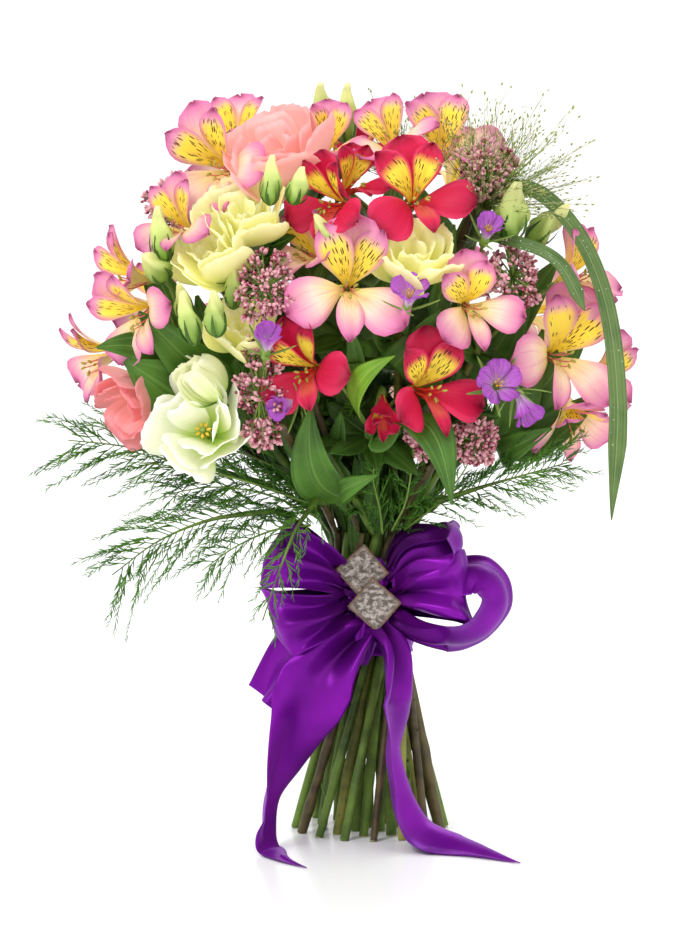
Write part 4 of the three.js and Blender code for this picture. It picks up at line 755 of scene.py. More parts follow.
def leavesIn(copy):  # blades of the frame's solid, each as where it grows, its tip and its points
    tree = KDTree(len(copy.verts))
    for i, v in enumerate(copy.verts):
        tree.insert(v.co, i)
    tree.balance()
    copy.verts.index_update()
    lone = {v for v in copy.verts if len(tree.find_range(v.co, blades["apart"])) < 3 and v.co.z > blades["above"]}
    found = []
    while lone:
        group, edge, roots = [], [lone.pop()], []
        while edge:
            v = edge.pop()
            group.append(v)
            for link in v.link_edges:
                other = link.other_vert(v)
                if other in lone:
                    lone.discard(other)
                    edge.append(other)
                elif other not in group and other not in edge:
                    roots.append(other.co)
        if roots:
            base = sum(roots, Vector()) / len(roots)
            tip = max((v.co for v in group), key=lambda co: (co - base).length)
            if (tip - base).length > blades["shortest"]:
                found.append((vec(*(base * 1000)), vec(*(tip * 1000)), group))
    return found


def growLeaves(clump, found, shown, paint, bright, seed):
    near = lambda row, point: np.linalg.norm((seen(*row[1]) - point)[[0, 2]])
    for i, row in enumerate(shown if found else ()):
        bend, tip, half, colour = row
        base = min(found, key=lambda leaf: near(row, leaf[1]))[0]
        lively = colour == "brightLeaf"
        leafBlade(clump, base, seen(*bend), seen(*tip), half, bright if lively else paint, seed + i, fold=0.14,
                  twist=0.5 if lively else 0.1, rows=25, front=vec(0.2 * np.sign(base[0]), -1, 0.3), tone=0.9)
    for i, (base, tip, _) in enumerate(found):
        if any(near(row, tip) < 18 for row in shown):
            continue
        outward = outwardOf(base)
        sideways = sidewaysOf(outward) * 14
        leafBlade(clump, base, base + outward * 22 + sideways + vec(0, 0, 26), tip, 9, paint, seed + i, twist=0.3)


def needles(spots, path, draw, amount, first, forward, lean, size):  # all along a twig, from its share first on
    run, last = slopes(path), len(path) - 1
    for k in range(int(amount)):
        s = first + (1 - first) * k / amount
        i = min(last - 1, int(s * last))
        around = unit(np.cross(run[i], stray(draw)))
        mark(spots, path[i] + (path[i + 1] - path[i]) * (s * last - i),
             unit(run[i] * forward + around * draw.uniform(*lean)), draw.uniform(*size) * (1.1 - 0.5 * s))


def sprig(clump, start, aim, length, draw, stalkPaint, spots):  # a short feathery twig; its needles are set later
    side = unit(np.cross(aim, stray(draw)))
    end = start + aim * length + side * length * 0.15
    path = bent(start, start + aim * length * 0.5 + vec(0, 0, 3), end, np.linspace(0, 1, 10))
    tube(clump, path, np.linspace(0.6, 0.2, 10), stalkPaint, 4, 0.5)
    needles(spots, path, draw, length * 1.6, 0.15, 0.8, (0.5, 0.9), (8, 14))


def innerLeaves(clump, copy, line, paint, draw, share, fern=None):  # up the stem, between the tie and the blooms
    ring = sorted((v.co.z * 1000, tuple(v.co * 1000)) for v in copy.verts)
    heights = np.array([z for z, _ in ring])
    spots = [], [], []
    top = min(heights[-1] - 12, inside["last"])
    count = int((top - inside["from"]) / inside["apart"] * share) if top > inside["from"] + 10 else 0
    for k in range(count):
        z = inside["first"] + (top - inside["first"]) * (k + draw.uniform(0.1, 0.9)) / count
        at = int(np.searchsorted(heights, z))
        base = np.median(np.array([p for _, p in ring[max(0, at - 5) : at + 5]]), axis=0)
        outward = outwardOf(base)
        low, high = z < inside["low"], z > inside["high"]
        aim = outward * draw.uniform(*((0.5, 1) if low else (-1.3, 0.5) if high else (-1, 0.8)))
        aim = aim + sidewaysOf(outward) * draw.uniform(-0.7, 0.7)
        reach = draw.uniform(*((24, 34) if low else (28, 44)))
        tip = base + aim * reach + vec(0, 0, draw.uniform(*((20, 42) if low else (15, 62) if high else (6, 30))))
        half = draw.uniform(*((4.5, 7) if low else (7, 11)))
        leafBlade(clump, base, base + aim * reach * 0.5 + vec(0, 0, 18), tip, half, paint, draw.randrange(999),
                  fold=0.3, twist=draw.uniform(-0.6, 0.6), rows=11, columns=5)
        if fern is not None:
            out = unit(aim + vec(draw.uniform(-0.6, 0.6), draw.uniform(-0.6, 0.6), draw.uniform(0.2, 1.1)))
            sprig(clump, base, out, draw.uniform(26, 40), draw, fern, spots)
    if fern is not None and spots[0]:
        scatter(clump, spots, "needle", fern, variation=0.1, seed=count)
    for _ in range(3 if share > 1 else 1):  # narrow leaves that come out above the bow
        base = line(draw.uniform(176, 192))
        outward = outwardOf(base)
        swing = sidewaysOf(outward) * draw.uniform(-20, 20)
        tip = base + outward * draw.uniform(10, 24) + swing + vec(0, 0, draw.uniform(38, 62))
        bend = base + outward * 4 + swing * 0.2 + vec(0, 0, 24)
        leafBlade(clump, base, bend, tip, draw.uniform(3, 5.5), paint, draw.randrange(999), fold=0.3,
                  twist=draw.uniform(-0.8, 0.8), rows=11, columns=5)


def cutStem(clump, line, thick, stemPaint, endPaint, draw, seed):  # the straight part below, a finer tube
    zs = np.concatenate([[0.0, 0.6], np.linspace(8, spiral["free"] + 4, 22)])
    radii = np.full(len(zs), thick) * (1 + 0.05 * np.sin(zs * 0.07 + seed))
    radii[0] *= 0.9
    radii *= np.interp(zs, [150, 186, 196], [1, 2.75 / thick, 2.3 / thick])
    for _ in range(draw.choice([1, 2, 2])):  # swollen joints of the stem
        at = draw.uniform(15, 110)
        radii *= 1 + 0.2 * np.exp(-(((zs - at) / 5) ** 2))
    tube(clump, [line(z) for z in zs], radii, stemPaint, 10, draw.random(), along=zs / 200)
    tube(clump, [line(0.05), line(0.9)], thick * 0.93, endPaint, 10, draw.random())


def greens(clump, node, gone, stemPaint, endPaint, seed, thick=None, leafPaints=None, shown=(), inner=None):
    # what is kept of the frame's solid is rounded off
    draw = random.Random(seed)
    thick = thick or draw.choice([2.5, 2.8, 3.1, 3.4, 3.7])
    copy = looseCopy(node)
    line = stemLine(copy) if min(v.co.z for v in copy.verts) < 1e-5 else None
    drop(copy, [v for v in copy.verts if gone(vec(*(v.co * 1000)))])
    if leafPaints is not None:
        found = leavesIn(copy)
        growLeaves(clump, found, shown, *leafPaints, seed)
        drop(copy, [v for _, _, group in found for v in group])
    if line is not None:
        if inner:
            innerLeaves(clump, copy, line, inner[0], draw, *inner[1:])
        drop(copy, [v for v in copy.verts if v.co.z * 1000 < spiral["kept"]])
    bmesh.ops.join_triangles(copy, faces=copy.faces, angle_face_threshold=0.7, angle_shape_threshold=0.9)
    edges = [e for e in copy.edges if e.is_boundary]
    if edges:
        bmesh.ops.holes_fill(copy, edges=edges, sides=12)
    mesh = bpy.data.meshes.new("rounded")
    copy.to_mesh(mesh)
    copy.free()
    holder = newObject("rounded", mesh)
    layer = holder.modifiers.new("rounding", "SUBSURF")
    layer.levels = layer.render_levels = 1
    verts, faces, _ = baked(holder)
    if faces:
        clump.add(verts, faces, stemPaint, 0.5, 0.5, draw.random())
    if line is None:
        return
    cutStem(clump, line, thick, stemPaint, endPaint, draw, seed)
    if leafPaints is not None and seed % 3 == 0:  # a scrap of leaf left on the cut stem
        base = line(draw.uniform(14, 90))
        out = outwardOf(base)
        tip = base + out * draw.uniform(5, 9) + vec(draw.uniform(-5, 5), 0, draw.uniform(8, 18))
        half = draw.uniform(1.5, 3)
        leafBlade(clump, base, (base + tip) / 2 + out * 2, tip, half, leafPaints[1], seed, rows=9, columns=5)
    for _ in range(2 if leafPaints is not None else 0):  # knots where leaves have been stripped
        at = line(draw.uniform(12, 105))
        out = unit(vec(at[0], at[1] - 12, 0))
        bead(clump, at + out * (thick - 0.2), out + vec(0, 0, 0.8), 0.9, 3.4, stemPaint, 6, 0.1)


# The flowers' layout: [across, up, sunk below the dome, turn, lift, roll, size, open]

umbels = {
    "pink_alstroemeria_centre": [[-13, 358, -6, 4, 12, -6, 1.08, 1], [-44, 380, 14, -42, 26, 10, 0.85, 0.7]],
    "pink_alstroemeria_left": [
        [-166, 361, -12, -66, 6, 20, 0.95, 0.75], [-157, 334, -30, -36, -14, 40, 0.95, 0.85],
        [-184, 306, -8, -68, -16, 0, 0.95, 0.7]],
    "pink_alstroemeria_upper_left": [
        [-128, 398, -22, -30, 22, 10, 0.85, 0.8], [-103, 434, -20, -24, 8, 24, 1.12, 0.85],
        [-88, 458, 34, -10, 52, 0, 0.9, 0.7]],
    "pink_alstroemeria_top": [
        [-26, 450, 6, 10, 34, 0, 0.85, 0.6], [12, 455, -8, -16, 46, 30, 0.9, 0.75],
        [50, 452, -12, 14, 40, 15, 1.0, 0.85]],
    "pink_alstroemeria_right_centre": [[68, 343, -6, 16, 4, 14, 0.9, 0.85], [141, 366, -14, 58, 26, 0, 0.95, 0.7]],
    "pink_alstroemeria_right": [
        [130, 313, -14, 26, 8, -16, 1.12, 1], [134, 262, -62, 26, -52, 12, 0.98, 0.7],
        [158, 292, -24, 62, -8, 0, 0.95, 0.8]],
    "pink_alstroemeria_back_left": [
        [-84, 436, 24, -150, 58, 0, 1.0, 0.9], [-142, 342, 0, -132, 2, 20, 1.0, 0.8],
        [-82, 346, 4, -160, 6, 0, 1.05, 1]],
    "pink_alstroemeria_back_right": [
        [58, 438, 24, 150, 58, 0, 1.0, 0.9], [118, 336, 0, 130, 0, 20, 1.0, 0.85], [62, 344, 4, 160, 8, 0, 1.05, 1]],
    "crimson_alstroemeria_top": [
        [-30, 410, -8, -34, 8, 0, 0.9, 0.75], [-9, 424, 10, 30, 30, 0, 0.8, 0.45],
        [31, 417, -10, 8, 22, 14, 1.02, 0.9]],
    "crimson_alstroemeria_front": [
        [-46, 301, -10, -26, 2, 22, 0.9, 0.85], [42, 290, -10, 30, 8, 8, 1.0, 0.85],
        [8, 270, -4, 0, -46, 0, 0.62, 0]],
    "crimson_alstroemeria_back": [
        [-14, 446, 34, 176, 66, 0, 1.0, 0.9], [-30, 306, 0, -172, -12, 12, 1.0, 0.9],
        [22, 340, 2, 176, 4, 0, 0.95, 0.9]],
}

# Blooms as above, buds: [across, up, sunk, turn, lift, length, radius]
lisianthusSprays = {
    "lisianthus_spray_upper_left": {
        "blooms": {
            "lisianthus_cream_upper": [-83, 404, -8, -8, 50, 0, 0.95, 0.8],
            "lisianthus_cream_left": [-105, 380, -12, -40, 44, 20, 0.95, 0.8]},
        "buds": [
            [-64, 420, -32, 10, 66, 28, 6], [-47, 417, -26, 30, 60, 22, 6.5], [-135, 384, -22, -20, 76, 32, 7],
            [-138, 366, -20, -30, 30, 24, 8]]},
    "lisianthus_spray_right": {
        "blooms": {"lisianthus_cream_right": [29, 378, 0, 10, 50, 0, 0.92, 0.85]},
        "buds": [[91, 400, -4, 20, 60, 34, 11], [113, 392, 4, 50, 38, 34, 8], [-28, 386, -2, -40, 50, 26, 6]]},
    "lisianthus_spray_left": {
        "blooms": {
            "lisianthus_cream_centre_left": [-83, 330, 2, 4, 46, 0, 0.8, 0.8],
            "lisianthus_half_open": [-113, 296, -16, -50, 38, 0, 0.8, 0.08],
            "lisianthus_white_open": [-113, 264, -44, -14, 16, 12, 1.04, 0.95]},
        "buds": [
            [-117, 331, -26, -22, 62, 32, 6.5], [-100, 334, -28, -12, 70, 26, 6.5], [-121, 342, -8, -20, 66, 22, 5.5],
            [-88, 352, -4, 10, 70, 26, 5.5]]},
    "lisianthus_stem_top": {
        "blooms": {"lisianthus_salmon_top": [-62, 446, -12, -34, 52, 0, 1.22, 0.85]},
        "buds": [[-15, 462, 4, 8, 78, 34, 6.5], [-31, 468, 26, -12, 76, 26, 6.5]]},
    "lisianthus_stem_lower_left": {
        "blooms": {"lisianthus_coral_lower_left": [-160, 273, -56, -52, -26, 0, 0.86, 0.95]}, "buds": []},
    "lisianthus_stem_back": {
        "blooms": {"lisianthus_salmon_back": [38, 296, 4, 166, -10, 0, 1.1, 0.95]},
        "buds": [[-60, 420, 0, -160, 60, 30, 7]]},
}

# Dense heads of tiny buds: [across, up, sunk, turn, lift, half width, half height]
riceSprays = {
    "rice_flower_centre_left": [[-72, 358, -20, -16, 22, 16, 20]],
    "rice_flower_low_left": [[-74, 280, -24, -14, -8, 13, 38]],
    "rice_flower_right": [[98, 365, -4, 20, 20, 19, 23]],
    "rice_flower_upper_left": [[-131, 417, -4, -30, 44, 16, 19]],
    "rice_flower_upper_right": [[78, 438, -24, 20, 40, 17, 17]],
    "rice_flower_low_right": [[40, 252, -20, 6, -26, 11, 12], [70, 248, -30, 10, -26, 13, 13]],
    "rice_flower_back": [[-96, 290, 0, -150, -4, 20, 22]],
}

corncockles = {
    "corncockle_right": [[84, 292, -22, 8, 16, 0, 0.9, 0.6], [102, 272, -50, 38, -50, 0, 0.8, 0.3]],
    "corncockle_upper_right": [[26, 352, -14, 10, 46, 0, 0.8, 0.5], [77, 393, -14, 14, 40, 0, 0.7, 0.3]],
    "corncockle_left": [[-66, 322, -24, 10, 46, 0, 0.75, 0.2], [-58, 276, -24, -40, -12, 0, 0.75, 0.15]],
}

fernFronds = {
    "fern_frond_left_upper": {
        "points": [[-70, 226, -36], [-118, 240, -48], [-160, 250, -54], [-196, 254, -58]], "reach": 46,
        "facing": (-8, 30), "side": (30, 22),
        "sprigs": [
            [[-36, -32, 208], [-64, -44, 222], [-98, -54, 228], [-130, -62, 224]],
            [[-34, -30, 218], [-58, -40, 238], [-84, -48, 250], [-108, -54, 256]],
            [[-38, -36, 202], [-62, -50, 200], [-86, -60, 190], [-106, -64, 176]],
            [[-34, -34, 214], [-74, -50, 230], [-112, -58, 240], [-146, -62, 244]]]},
    "fern_frond_left_lower": {
        "points": [[-62, 208, -44], [-104, 202, -62], [-138, 188, -72], [-168, 166, -76]], "reach": 44,
        "facing": (-8, 30)},
    "fern_frond_over_bow": {
        "points": [[-34, 216, -58], [-48, 196, -78], [-60, 166, -88], [-70, 136, -92]], "reach": 24,
        "facing": (-10, 20), "branches": 16},
    "fern_frond_right": {
        "points": [[44, 214, -44], [74, 224, -62], [102, 232, -70], [130, 240, -70]], "reach": 36, "facing": (10, 30),
        "side": (18, 14),
        "sprigs": [
            [[14, -30, 198], [22, -44, 216], [26, -56, 238], [28, -62, 262]],
            [[22, -26, 198], [40, -40, 214], [58, -52, 236], [66, -58, 252]],
            [[8, -30, 196], [6, -46, 214], [2, -60, 234], [4, -68, 250]]]},
}


def bloomPlace(row, kind, back=False):
    across, up, sunk, turn, lift, roll, size, opened = row
    depth = domeDepth(across, up) - sunk
    face = seen(across, up, depth if back else -depth)
    direction = facing(turn, lift)
    foot = face - direction * footDepth[kind] * size
    return placed(foot, direction, roll), size, opened, foot, direction


def hubOf(poses, gap=44):  # where the stalks of one head part from its stem
    middle = np.mean([pose[3] for pose in poses], axis=0)
    lean = np.mean([pose[4] for pose in poses], axis=0)
    point = middle + unit(vec(*head["fan"]) - middle) * gap
    return point, unit(0.7 * unit(middle - point) + 0.3 * lean)


def stalkPath(a, aim, b, end, count=12):  # a smooth stalk that leaves a along aim and comes into b along end
    t = np.linspace(0, 1, count)[:, None]
    length = 0.7 * np.linalg.norm(b - a)
    return ((2 * t**3 - 3 * t**2 + 1) * a + (t**3 - 2 * t**2 + t) * length * aim
            + (3 * t**2 - 2 * t**3) * b + (t**3 - t**2) * length * end)


def nearPetals(poses, reach):  # picks out the frame's petal points in front of each foot
    def test(p):
        for _, size, _, foot, direction in poses:
            d = p - foot
            if np.linalg.norm(d) < reach * 1.25 * size and d.dot(direction) > -2.2:
                return True
        return False
    return test


def hubLeaves(clump, hub, aim, paint, draw, seed):  # leaves where the stalks part
    around = placed(hub, aim)[0]
    for i in range(9):
        out = around @ polar(math.radians(40 * i + draw.uniform(-20, 20)), 1, 0)
        reach = draw.uniform(30, 48)
        tip = hub + out * reach + aim * draw.uniform(2, 26)
        half = draw.uniform(6.5, 9.5)
        leafBlade(clump, hub, hub + out * 0.55 * reach + aim * 6, tip, half, paint, seed + i, rows=11, columns=5)


for index, (name, rows) in enumerate(umbels.items()):
    kind = name.split("_")[0]
    poses = [bloomPlace(row, kind, "_back" in name) for row in rows]
    clump = Clump()
    hub, hubAim = hubOf(poses)
    for i, (place, size, opened, foot, direction) in enumerate(poses):
        alstroemeria(clump, place, size, opened, 100 * index + i, 2)
        stalk = stalkPath(hub, hubAim, foot - 3.5 * direction, direction)
        tube(clump, stalk, np.linspace(1.5, 1.3, 12), 1, 7, 0.5)
    bead(clump, hub, hubAim, 3.2, 9, 1, 8)
    hubLeaves(clump, hub, hubAim, 4, random.Random(index), 40 * index)
    stalks = "redFilament" if kind == "crimson" else "filament"
    makePiece(name + "_flowers", clump, [kind, "twig", stalks, "anther", "leaf"], name + "_umbel")
print("alstroemerias made")

for index, (name, spray) in enumerate(lisianthusSprays.items()):
    for i, (bloom, row) in enumerate(spray["blooms"].items()):
        colour = bloom.split("_")[1]
        place, size, opened, _, _ = bloomPlace(row, "lisianthus", "_back" in name)
        clump = Clump()
        lisianthus(clump, place, size, opened, 50 * index + i)
        makePiece(bloom + "_petals", clump, [colour, "twig", "yolk"], bloom)
print("lisianthus made")


def budPlace(row, back):
    across, up, sunk, turn, lift, length, radius = row
    depth = (domeDepth(across, up) - sunk) * (1 if back else -1)
    direction = facing(turn, lift)
    return seen(across, up, depth) - direction * 0.5 * length, direction, length, radius


def inBuds(buds):  # picks out the frame's own bud points
    spheres = [(foot + direction * 0.5 * length, min(20, length * 0.55)) for foot, direction, length, _ in buds]
    return lambda p: any(np.linalg.norm(p - middle) < radius for middle, radius in spheres)


# Leaves that show among the blooms: place that the blade bends towards, its tip, half its width
shownLeaves = {
    "crimson_alstroemeria_front": [
        ([-46, 214, -74], [-38, 276, -92], 16, "leaf"), ([-34, 216, -90], [6, 232, -96], 8, "leaf"),
        ([44, 292, -108], [53, 212, -120], 14, "leaf"), ([6, 240, -84], [24, 284, -94], 9, "leaf"),
        ([-24, 290, -132], [16, 309, -132], 9.5, "brightLeaf")],
    "pink_alstroemeria_centre": [
        ([8, 290, -92], [46, 340, -96], 10.5, "leaf"), ([-4, 296, -112], [-14, 330, -120], 7, "leaf"),
        ([-30, 340, -60], [-52, 396, -64], 14, "leaf"), ([20, 350, -50], [14, 404, -60], 13, "leaf")],
    "pink_alstroemeria_right_centre": [
        ([30, 280, -84], [54, 338, -98], 8, "leaf"), ([84, 310, -50], [104, 352, -56], 14, "leaf"),
        ([90, 330, -40], [122, 372, -44], 13, "leaf")],
    "lisianthus_spray_left": [
        ([-112, 276, -76], [-159, 306, -92], 25, "leaf"), ([-114, 304, -84], [-150, 337, -96], 16, "leaf"),
        ([-100, 300, -60], [-112, 348, -64], 15, "leaf"), ([-118, 312, -50], [-146, 356, -56], 13, "leaf")],
    "pink_alstroemeria_left": [
        ([-140, 322, -88], [-177, 314, -102], 12, "leaf"), ([-124, 330, -44], [-146, 378, -48], 13, "leaf")],
    "pink_alstroemeria_right": [
        ([80, 242, -66], [118, 262, -72], 10, "leaf"), ([94, 270, -56], [112, 326, -60], 14, "leaf"),
        ([104, 280, -54], [142, 326, -54], 14, "leaf"), ([112, 252, -56], [150, 286, -60], 13, "leaf")],
}

barks = ("stem", "stem", "olive", "stem", "olive", "woody")

for index, name in enumerate(umbels):
    clump = Clump()
    greens(clump, name + "_stem", lambda p: False, 0, 2, 300 + index, leafPaints=(1, 3),
           shown=shownLeaves.get(name, ()), inner=(1, 1.3, 4))
    looks = [barks[index % 6], "leaf", "cutEnd", "brightLeaf", "fern"]
    makePiece(name + "_leafy_stem", clump, looks, name + "_stem")

for index, (name, spray) in enumerate(lisianthusSprays.items()):
    clump = Clump()
    buds = [budPlace(row, "_back" in name) for row in spray["buds"]]
    greens(clump, name + "_green", inBuds(buds), 0, 2, 400 + index, leafPaints=(1, 3),
           shown=shownLeaves.get(name, ()), inner=(1, 1.3, 5))
    for i, (foot, direction, length, radius) in enumerate(buds):
        bud(clump, foot, direction, length, radius, 4, 1, 77 * index + i)
    looks = [barks[(index + 1) % 6], "leaf", "cutEnd", "brightLeaf", "budGreen", "fern"]
    makePiece(name + "_buds_and_stem", clump, looks, name + "_green")
print("stems and leaves made")

for index, (name, rows) in enumerate(corncockles.items()):
    poses = [bloomPlace(row, "corncockle") for row in rows]
    clump = Clump()
    for i, (place, size, opened, _, _) in enumerate(poses):
        corncockle(clump, place, size, opened, 600 + 10 * index + i)
    for _, _, _, foot, direction in poses:
        tube(clump, [foot - below * direction for below in (9, 4, 1)], [1.1, 1.1, 1.3], 1, 7)
    greens(clump, name, nearPetals(poses, 32), 3, 4, 620 + index, inner=(5, 0.8))
    makePiece(name + "_spray", clump, ["violet", "twig", "yolk", "stem", "cutEnd", "leaf"], name)
print("corncockles made")


def riceHead(clump, centre, direction, halves, seed, budPaint, twigPaint, bunches=54, buds=12):
    draw = random.Random(seed)
    basis = placed(centre, direction)[0]
    spots = [], [], []
    for i in range(bunches):
        z = 1 - 2 * (i + 0.5) / bunches
        a = i * goldenAngle + draw.uniform(-0.3, 0.3)
        outward = basis @ (polar(a, math.sqrt(max(0.0, 1 - z * z)), z) * halves)
        spot = centre + outward * draw.uniform(0.5, 1.08)
        tube(clump, [centre, centre + outward * 0.3, spot], [0.8, 0.6, 0.4], twigPaint, 4, draw.random())
        for _ in range(buds):  # each bunch opens outwards
            aim = unit(unit(outward) + stray(draw, -0.8, 1) * 1.1)
            tip = spot + aim * draw.uniform(1, 4)
            tube(clump, [spot, tip], [0.22, 0.18], twigPaint, 3, draw.random())
            mark(spots, tip, aim, draw.uniform(2.7, 4.0))
    scatter(clump, spots, "riceBud", budPaint, seed=seed)


def inHeads(heads):  # picks out the frame's own points of the dense heads
    return lambda p: any(np.linalg.norm(((p - c) @ basis) / (halves * 1.12)) < 1 for c, basis, halves in heads)


for index, (name, rows) in enumerate(riceSprays.items()):
    clump = Clump()
    heads = []
    for i, (across, up, sunk, turn, lift, halfWide, halfTall) in enumerate(rows):
        depth = (domeDepth(across, up) - sunk) * (1 if "_back" in name else -1)
        direction = facing(turn, lift)
        halves = vec(halfWide, halfTall, 0.8 * min(halfWide, halfTall))
        centre = seen(across, up, depth) - direction * halves[2]
        heads.append((centre, placed(centre, direction)[0], halves))
        riceHead(clump, centre, direction, halves, 800 + 10 * index + i, 0, 1)
    greens(clump, name, inHeads(heads), 2, 3, 820 + index, inner=(4, 0.8))
    makePiece(name + "_spray", clump, ["rice", "twig", "woody", "cutEnd", "leaf"], name)
print("rice flowers made")

# Ferns, grass and strap leaves


def alongFrond(root, onward):  # picks out the frame's own points of a frond that leaves root along onward
    def test(p):
        d = p - root
        beyond = d.dot(onward)
        wide = np.linalg.norm(np.cross(d, onward))
        return beyond > 1.5 or (np.linalg.norm(d) > 8 and beyond > -60 and wide > 14 and p[2] > 150)
    return test


def frondBranches(clump, line, outward, reach, branches, draw, spots):
    going = slopes(line)
    for k in range(branches):
        place = 0.02 + 0.94 * k / branches
        at = int(place * 39)
        side = unit(np.cross(outward, going[at])) * (1 if k % 2 else -1)
        normal = outward - going[at] * outward.dot(going[at])
        length = reach * (1.15 - 0.45 * place) * draw.uniform(0.75, 1.25)
        spread = draw.uniform(0.35, 0.75)
        tip = (line[at] + going[at] * length * 0.9 + side * length * spread
               + normal * length * draw.uniform(-0.3, 0.3) + vec(0, 0, -0.14 * length))
        bow = (line[at] + going[at] * length * 0.35 + side * length * 0.6 * spread
               + normal * draw.uniform(-2, 4) + vec(0, 0, 0.05 * length))
        branch = bent(line[at], bow, tip, np.linspace(0, 1, 8))
        tube(clump, branch, np.linspace(0.4, 0.14, 8), 0, 3, draw.random())
        needles(spots, branch, draw, int(length * 0.62), 0.12, 1, (0.35, 0.8), (5, 9))


for index, (name, frond) in enumerate(fernFronds.items()):
    draw = random.Random(40 + index)
    clump = Clump()
    rachis = smoothPath([seen(*p) for p in frond["points"]], 40)
    outward = facing(*frond["facing"])
    tube(clump, rachis, 0.4 + 2.0 * np.linspace(1, 0, 40) ** 2.2, 2, 8, 0.5)
    spots = [], [], []
    ribs = [(rachis, frond["reach"], frond.get("branches", 38))]
    for points in frond.get("sprigs", []):
        line = smoothPath(points, 40)
        tube(clump, line, np.linspace(0.9, 0.35, 40), 1, 5, 0.5)
        ribs.append((line, *frond["side"]))
    for line, reach, branches in ribs:
        frondBranches(clump, line, outward, reach, branches, draw, spots)
    scatter(clump, spots, "needle", 0, variation=0.1, seed=index)
    greens(clump, name, alongFrond(rachis[0], slopes(rachis)[0]), 2, 3, 60 + index, thick=3.0)
    makePiece(name + "_needles", clump, ["fern", "twig", "stem", "cutEnd"], name)
print("ferns made")

tuftHairs = 170
grassHeads = {
    "panic_grass_upper_right": {"tuft": [72, 404, -52], "turn": 42, "lift": 52, "reach": 84, "count": 84, "spread": 0.95},
    "panic_grass_back": {"tuft": [20, 420, 46], "turn": -150, "lift": 58, "reach": 62, "count": 44, "spread": 0.8},
}


def grassHair(clump, start, aim, length, draw, spots):
    sway = stray(draw, -1.4, 0.2) * 0.12 * length
    hair = bent(start, start + aim * 0.55 * length + sway * 0.3, start + aim * length + sway, np.linspace(0, 1, 7))
    tube(clump, hair, np.linspace(0.4, 0.14, 7), 0, 3, draw.random())
    for k in range(7):
        at = hair[2 + k * 4 // 7]
        away = unit(aim + stray(draw, -0.8, 0.8) * 0.55)
        end = at + away * draw.uniform(6, 17)
        tube(clump, [at, (at + end) / 2 + vec(0, 0, 0.6), end], [0.2, 0.16, 0.1], 0, 3, draw.random())
        mark(spots, end, away, draw.uniform(1.7, 2.6))
    mark(spots, hair[-1], aim, 2.6)


for index, (name, grass) in enumerate(grassHeads.items()):
    draw = random.Random(70 + index)
    clump = Clump()
    start = seen(*grass["tuft"])
    direction = facing(grass["turn"], grass["lift"])
    basis = placed(start, direction)[0]
    spots = [], [], []
    for i in range(grass["count"]):
        lean = grass["spread"] * math.sqrt((i + 0.5) / grass["count"])
        aim = basis @ polar(i * goldenAngle, math.sin(lean), math.cos(lean))
        grassHair(clump, start, aim, grass["reach"] * draw.uniform(0.6, 1.0), draw, spots)
    for i in range(tuftHairs):  # the dense tuft at its foot
        aim = unit(direction + stray(draw, -0.6, 1) * 0.7)
        length = draw.uniform(14, 46)
        sway = vec(draw.uniform(-1, 1), draw.uniform(-1, 1), -0.6) * 0.16 * length
        blade = bent(start, start + aim * length * 0.6, start + aim * length + sway, np.linspace(0, 1, 5))
        tube(clump, blade, [0.45, 0.4, 0.34, 0.25, 0.12], 3, 3, draw.random())
    scatter(clump, spots, "seed", 0, seed=index)
    greens(clump, name, lambda p: (p - start).dot(direction) > 4, 1, 2, 80 + index, thick=3.1)
    makePiece(name + "_panicle", clump, ["grass", "stem", "cutEnd", "fern"], name)
print("grass made")

waterDrops = 38
strapLeaves = [
    {"points": [[60, 384, -46], [80, 412, -58], [104, 415, -66], [130, 392, -74], [150, 350, -80], [160, 282, -86],
                [157, 202, -88]], "half": 6.2},
    {"points": [[66, 384, -62], [92, 382, -90], [120, 370, -100], [139, 338, -100]], "half": 5.4},
]

clump = Clump()
strapAim = facing(30, 70)
strapRoot = seen(*strapLeaves[0]["points"][0]) - 7 * strapAim
for index, leaf in enumerate(strapLeaves):
    draw = random.Random(90 + index)
    rows, columns = 70, 9
    path = smoothPath([strapRoot] + [seen(*p) for p in leaf["points"]], rows)
    tangent = slopes(path)
    outward = facing(20, 34)
    us, ts = np.linspace(-1, 1, columns), np.linspace(0, 1, rows)
    grid = np.zeros((rows, columns, 3))
    for i, t in enumerate(ts):
        side = unit(np.cross(tangent[i], outward))
        normal = np.cross(side, tangent[i])
        half = leaf["half"] * min(1, 8 * t + 0.12, 9 * (1 - t) ** 0.9 + 0.02)
        for j, u in enumerate(us):
            grid[i, j] = path[i] + side * u * half + normal * (0.28 * abs(u) * half + 0.5 * math.sin(9 * t + 2 * u))
    shell(clump, grid, 0.6, 0, draw.random(), 0.0, us, ts)
    for _ in range(waterDrops):
        i, j = draw.randrange(6, rows - 6), draw.randrange(1, 8)
        normal = unit(np.cross(grid[i, min(8, j + 1)] - grid[i, j - 1], tangent[i]))
        size = draw.uniform(0.2, 0.6)
        bead(clump, grid[i, j] + normal * 0.45, normal, size, size * 1.4, 1, 7)


def inStraps(p):
    d = p - strapRoot
    return d.dot(strapAim) > 1.0 or (p[2] > 300 and np.linalg.norm(d) > 12 and d[0] > 4)


greens(clump, "strap_leaves", inStraps, 2, 3, 95, thick=3.1)
paints["water"], tree = freshMaterial("water_drops")
finishSurface(tree, rgba((0.66, 0.76, 0.6)), 0.06, more={"Coat Weight": 0.5, "Coat Roughness": 0.18})
makePiece("strap_leaf_blades", clump, ["strap", "water", "stem", "cutEnd"], "strap_leaves")
print("strap leaves made")

# The bow: strips of satin, 50 mm wide before they are gathered at the knot

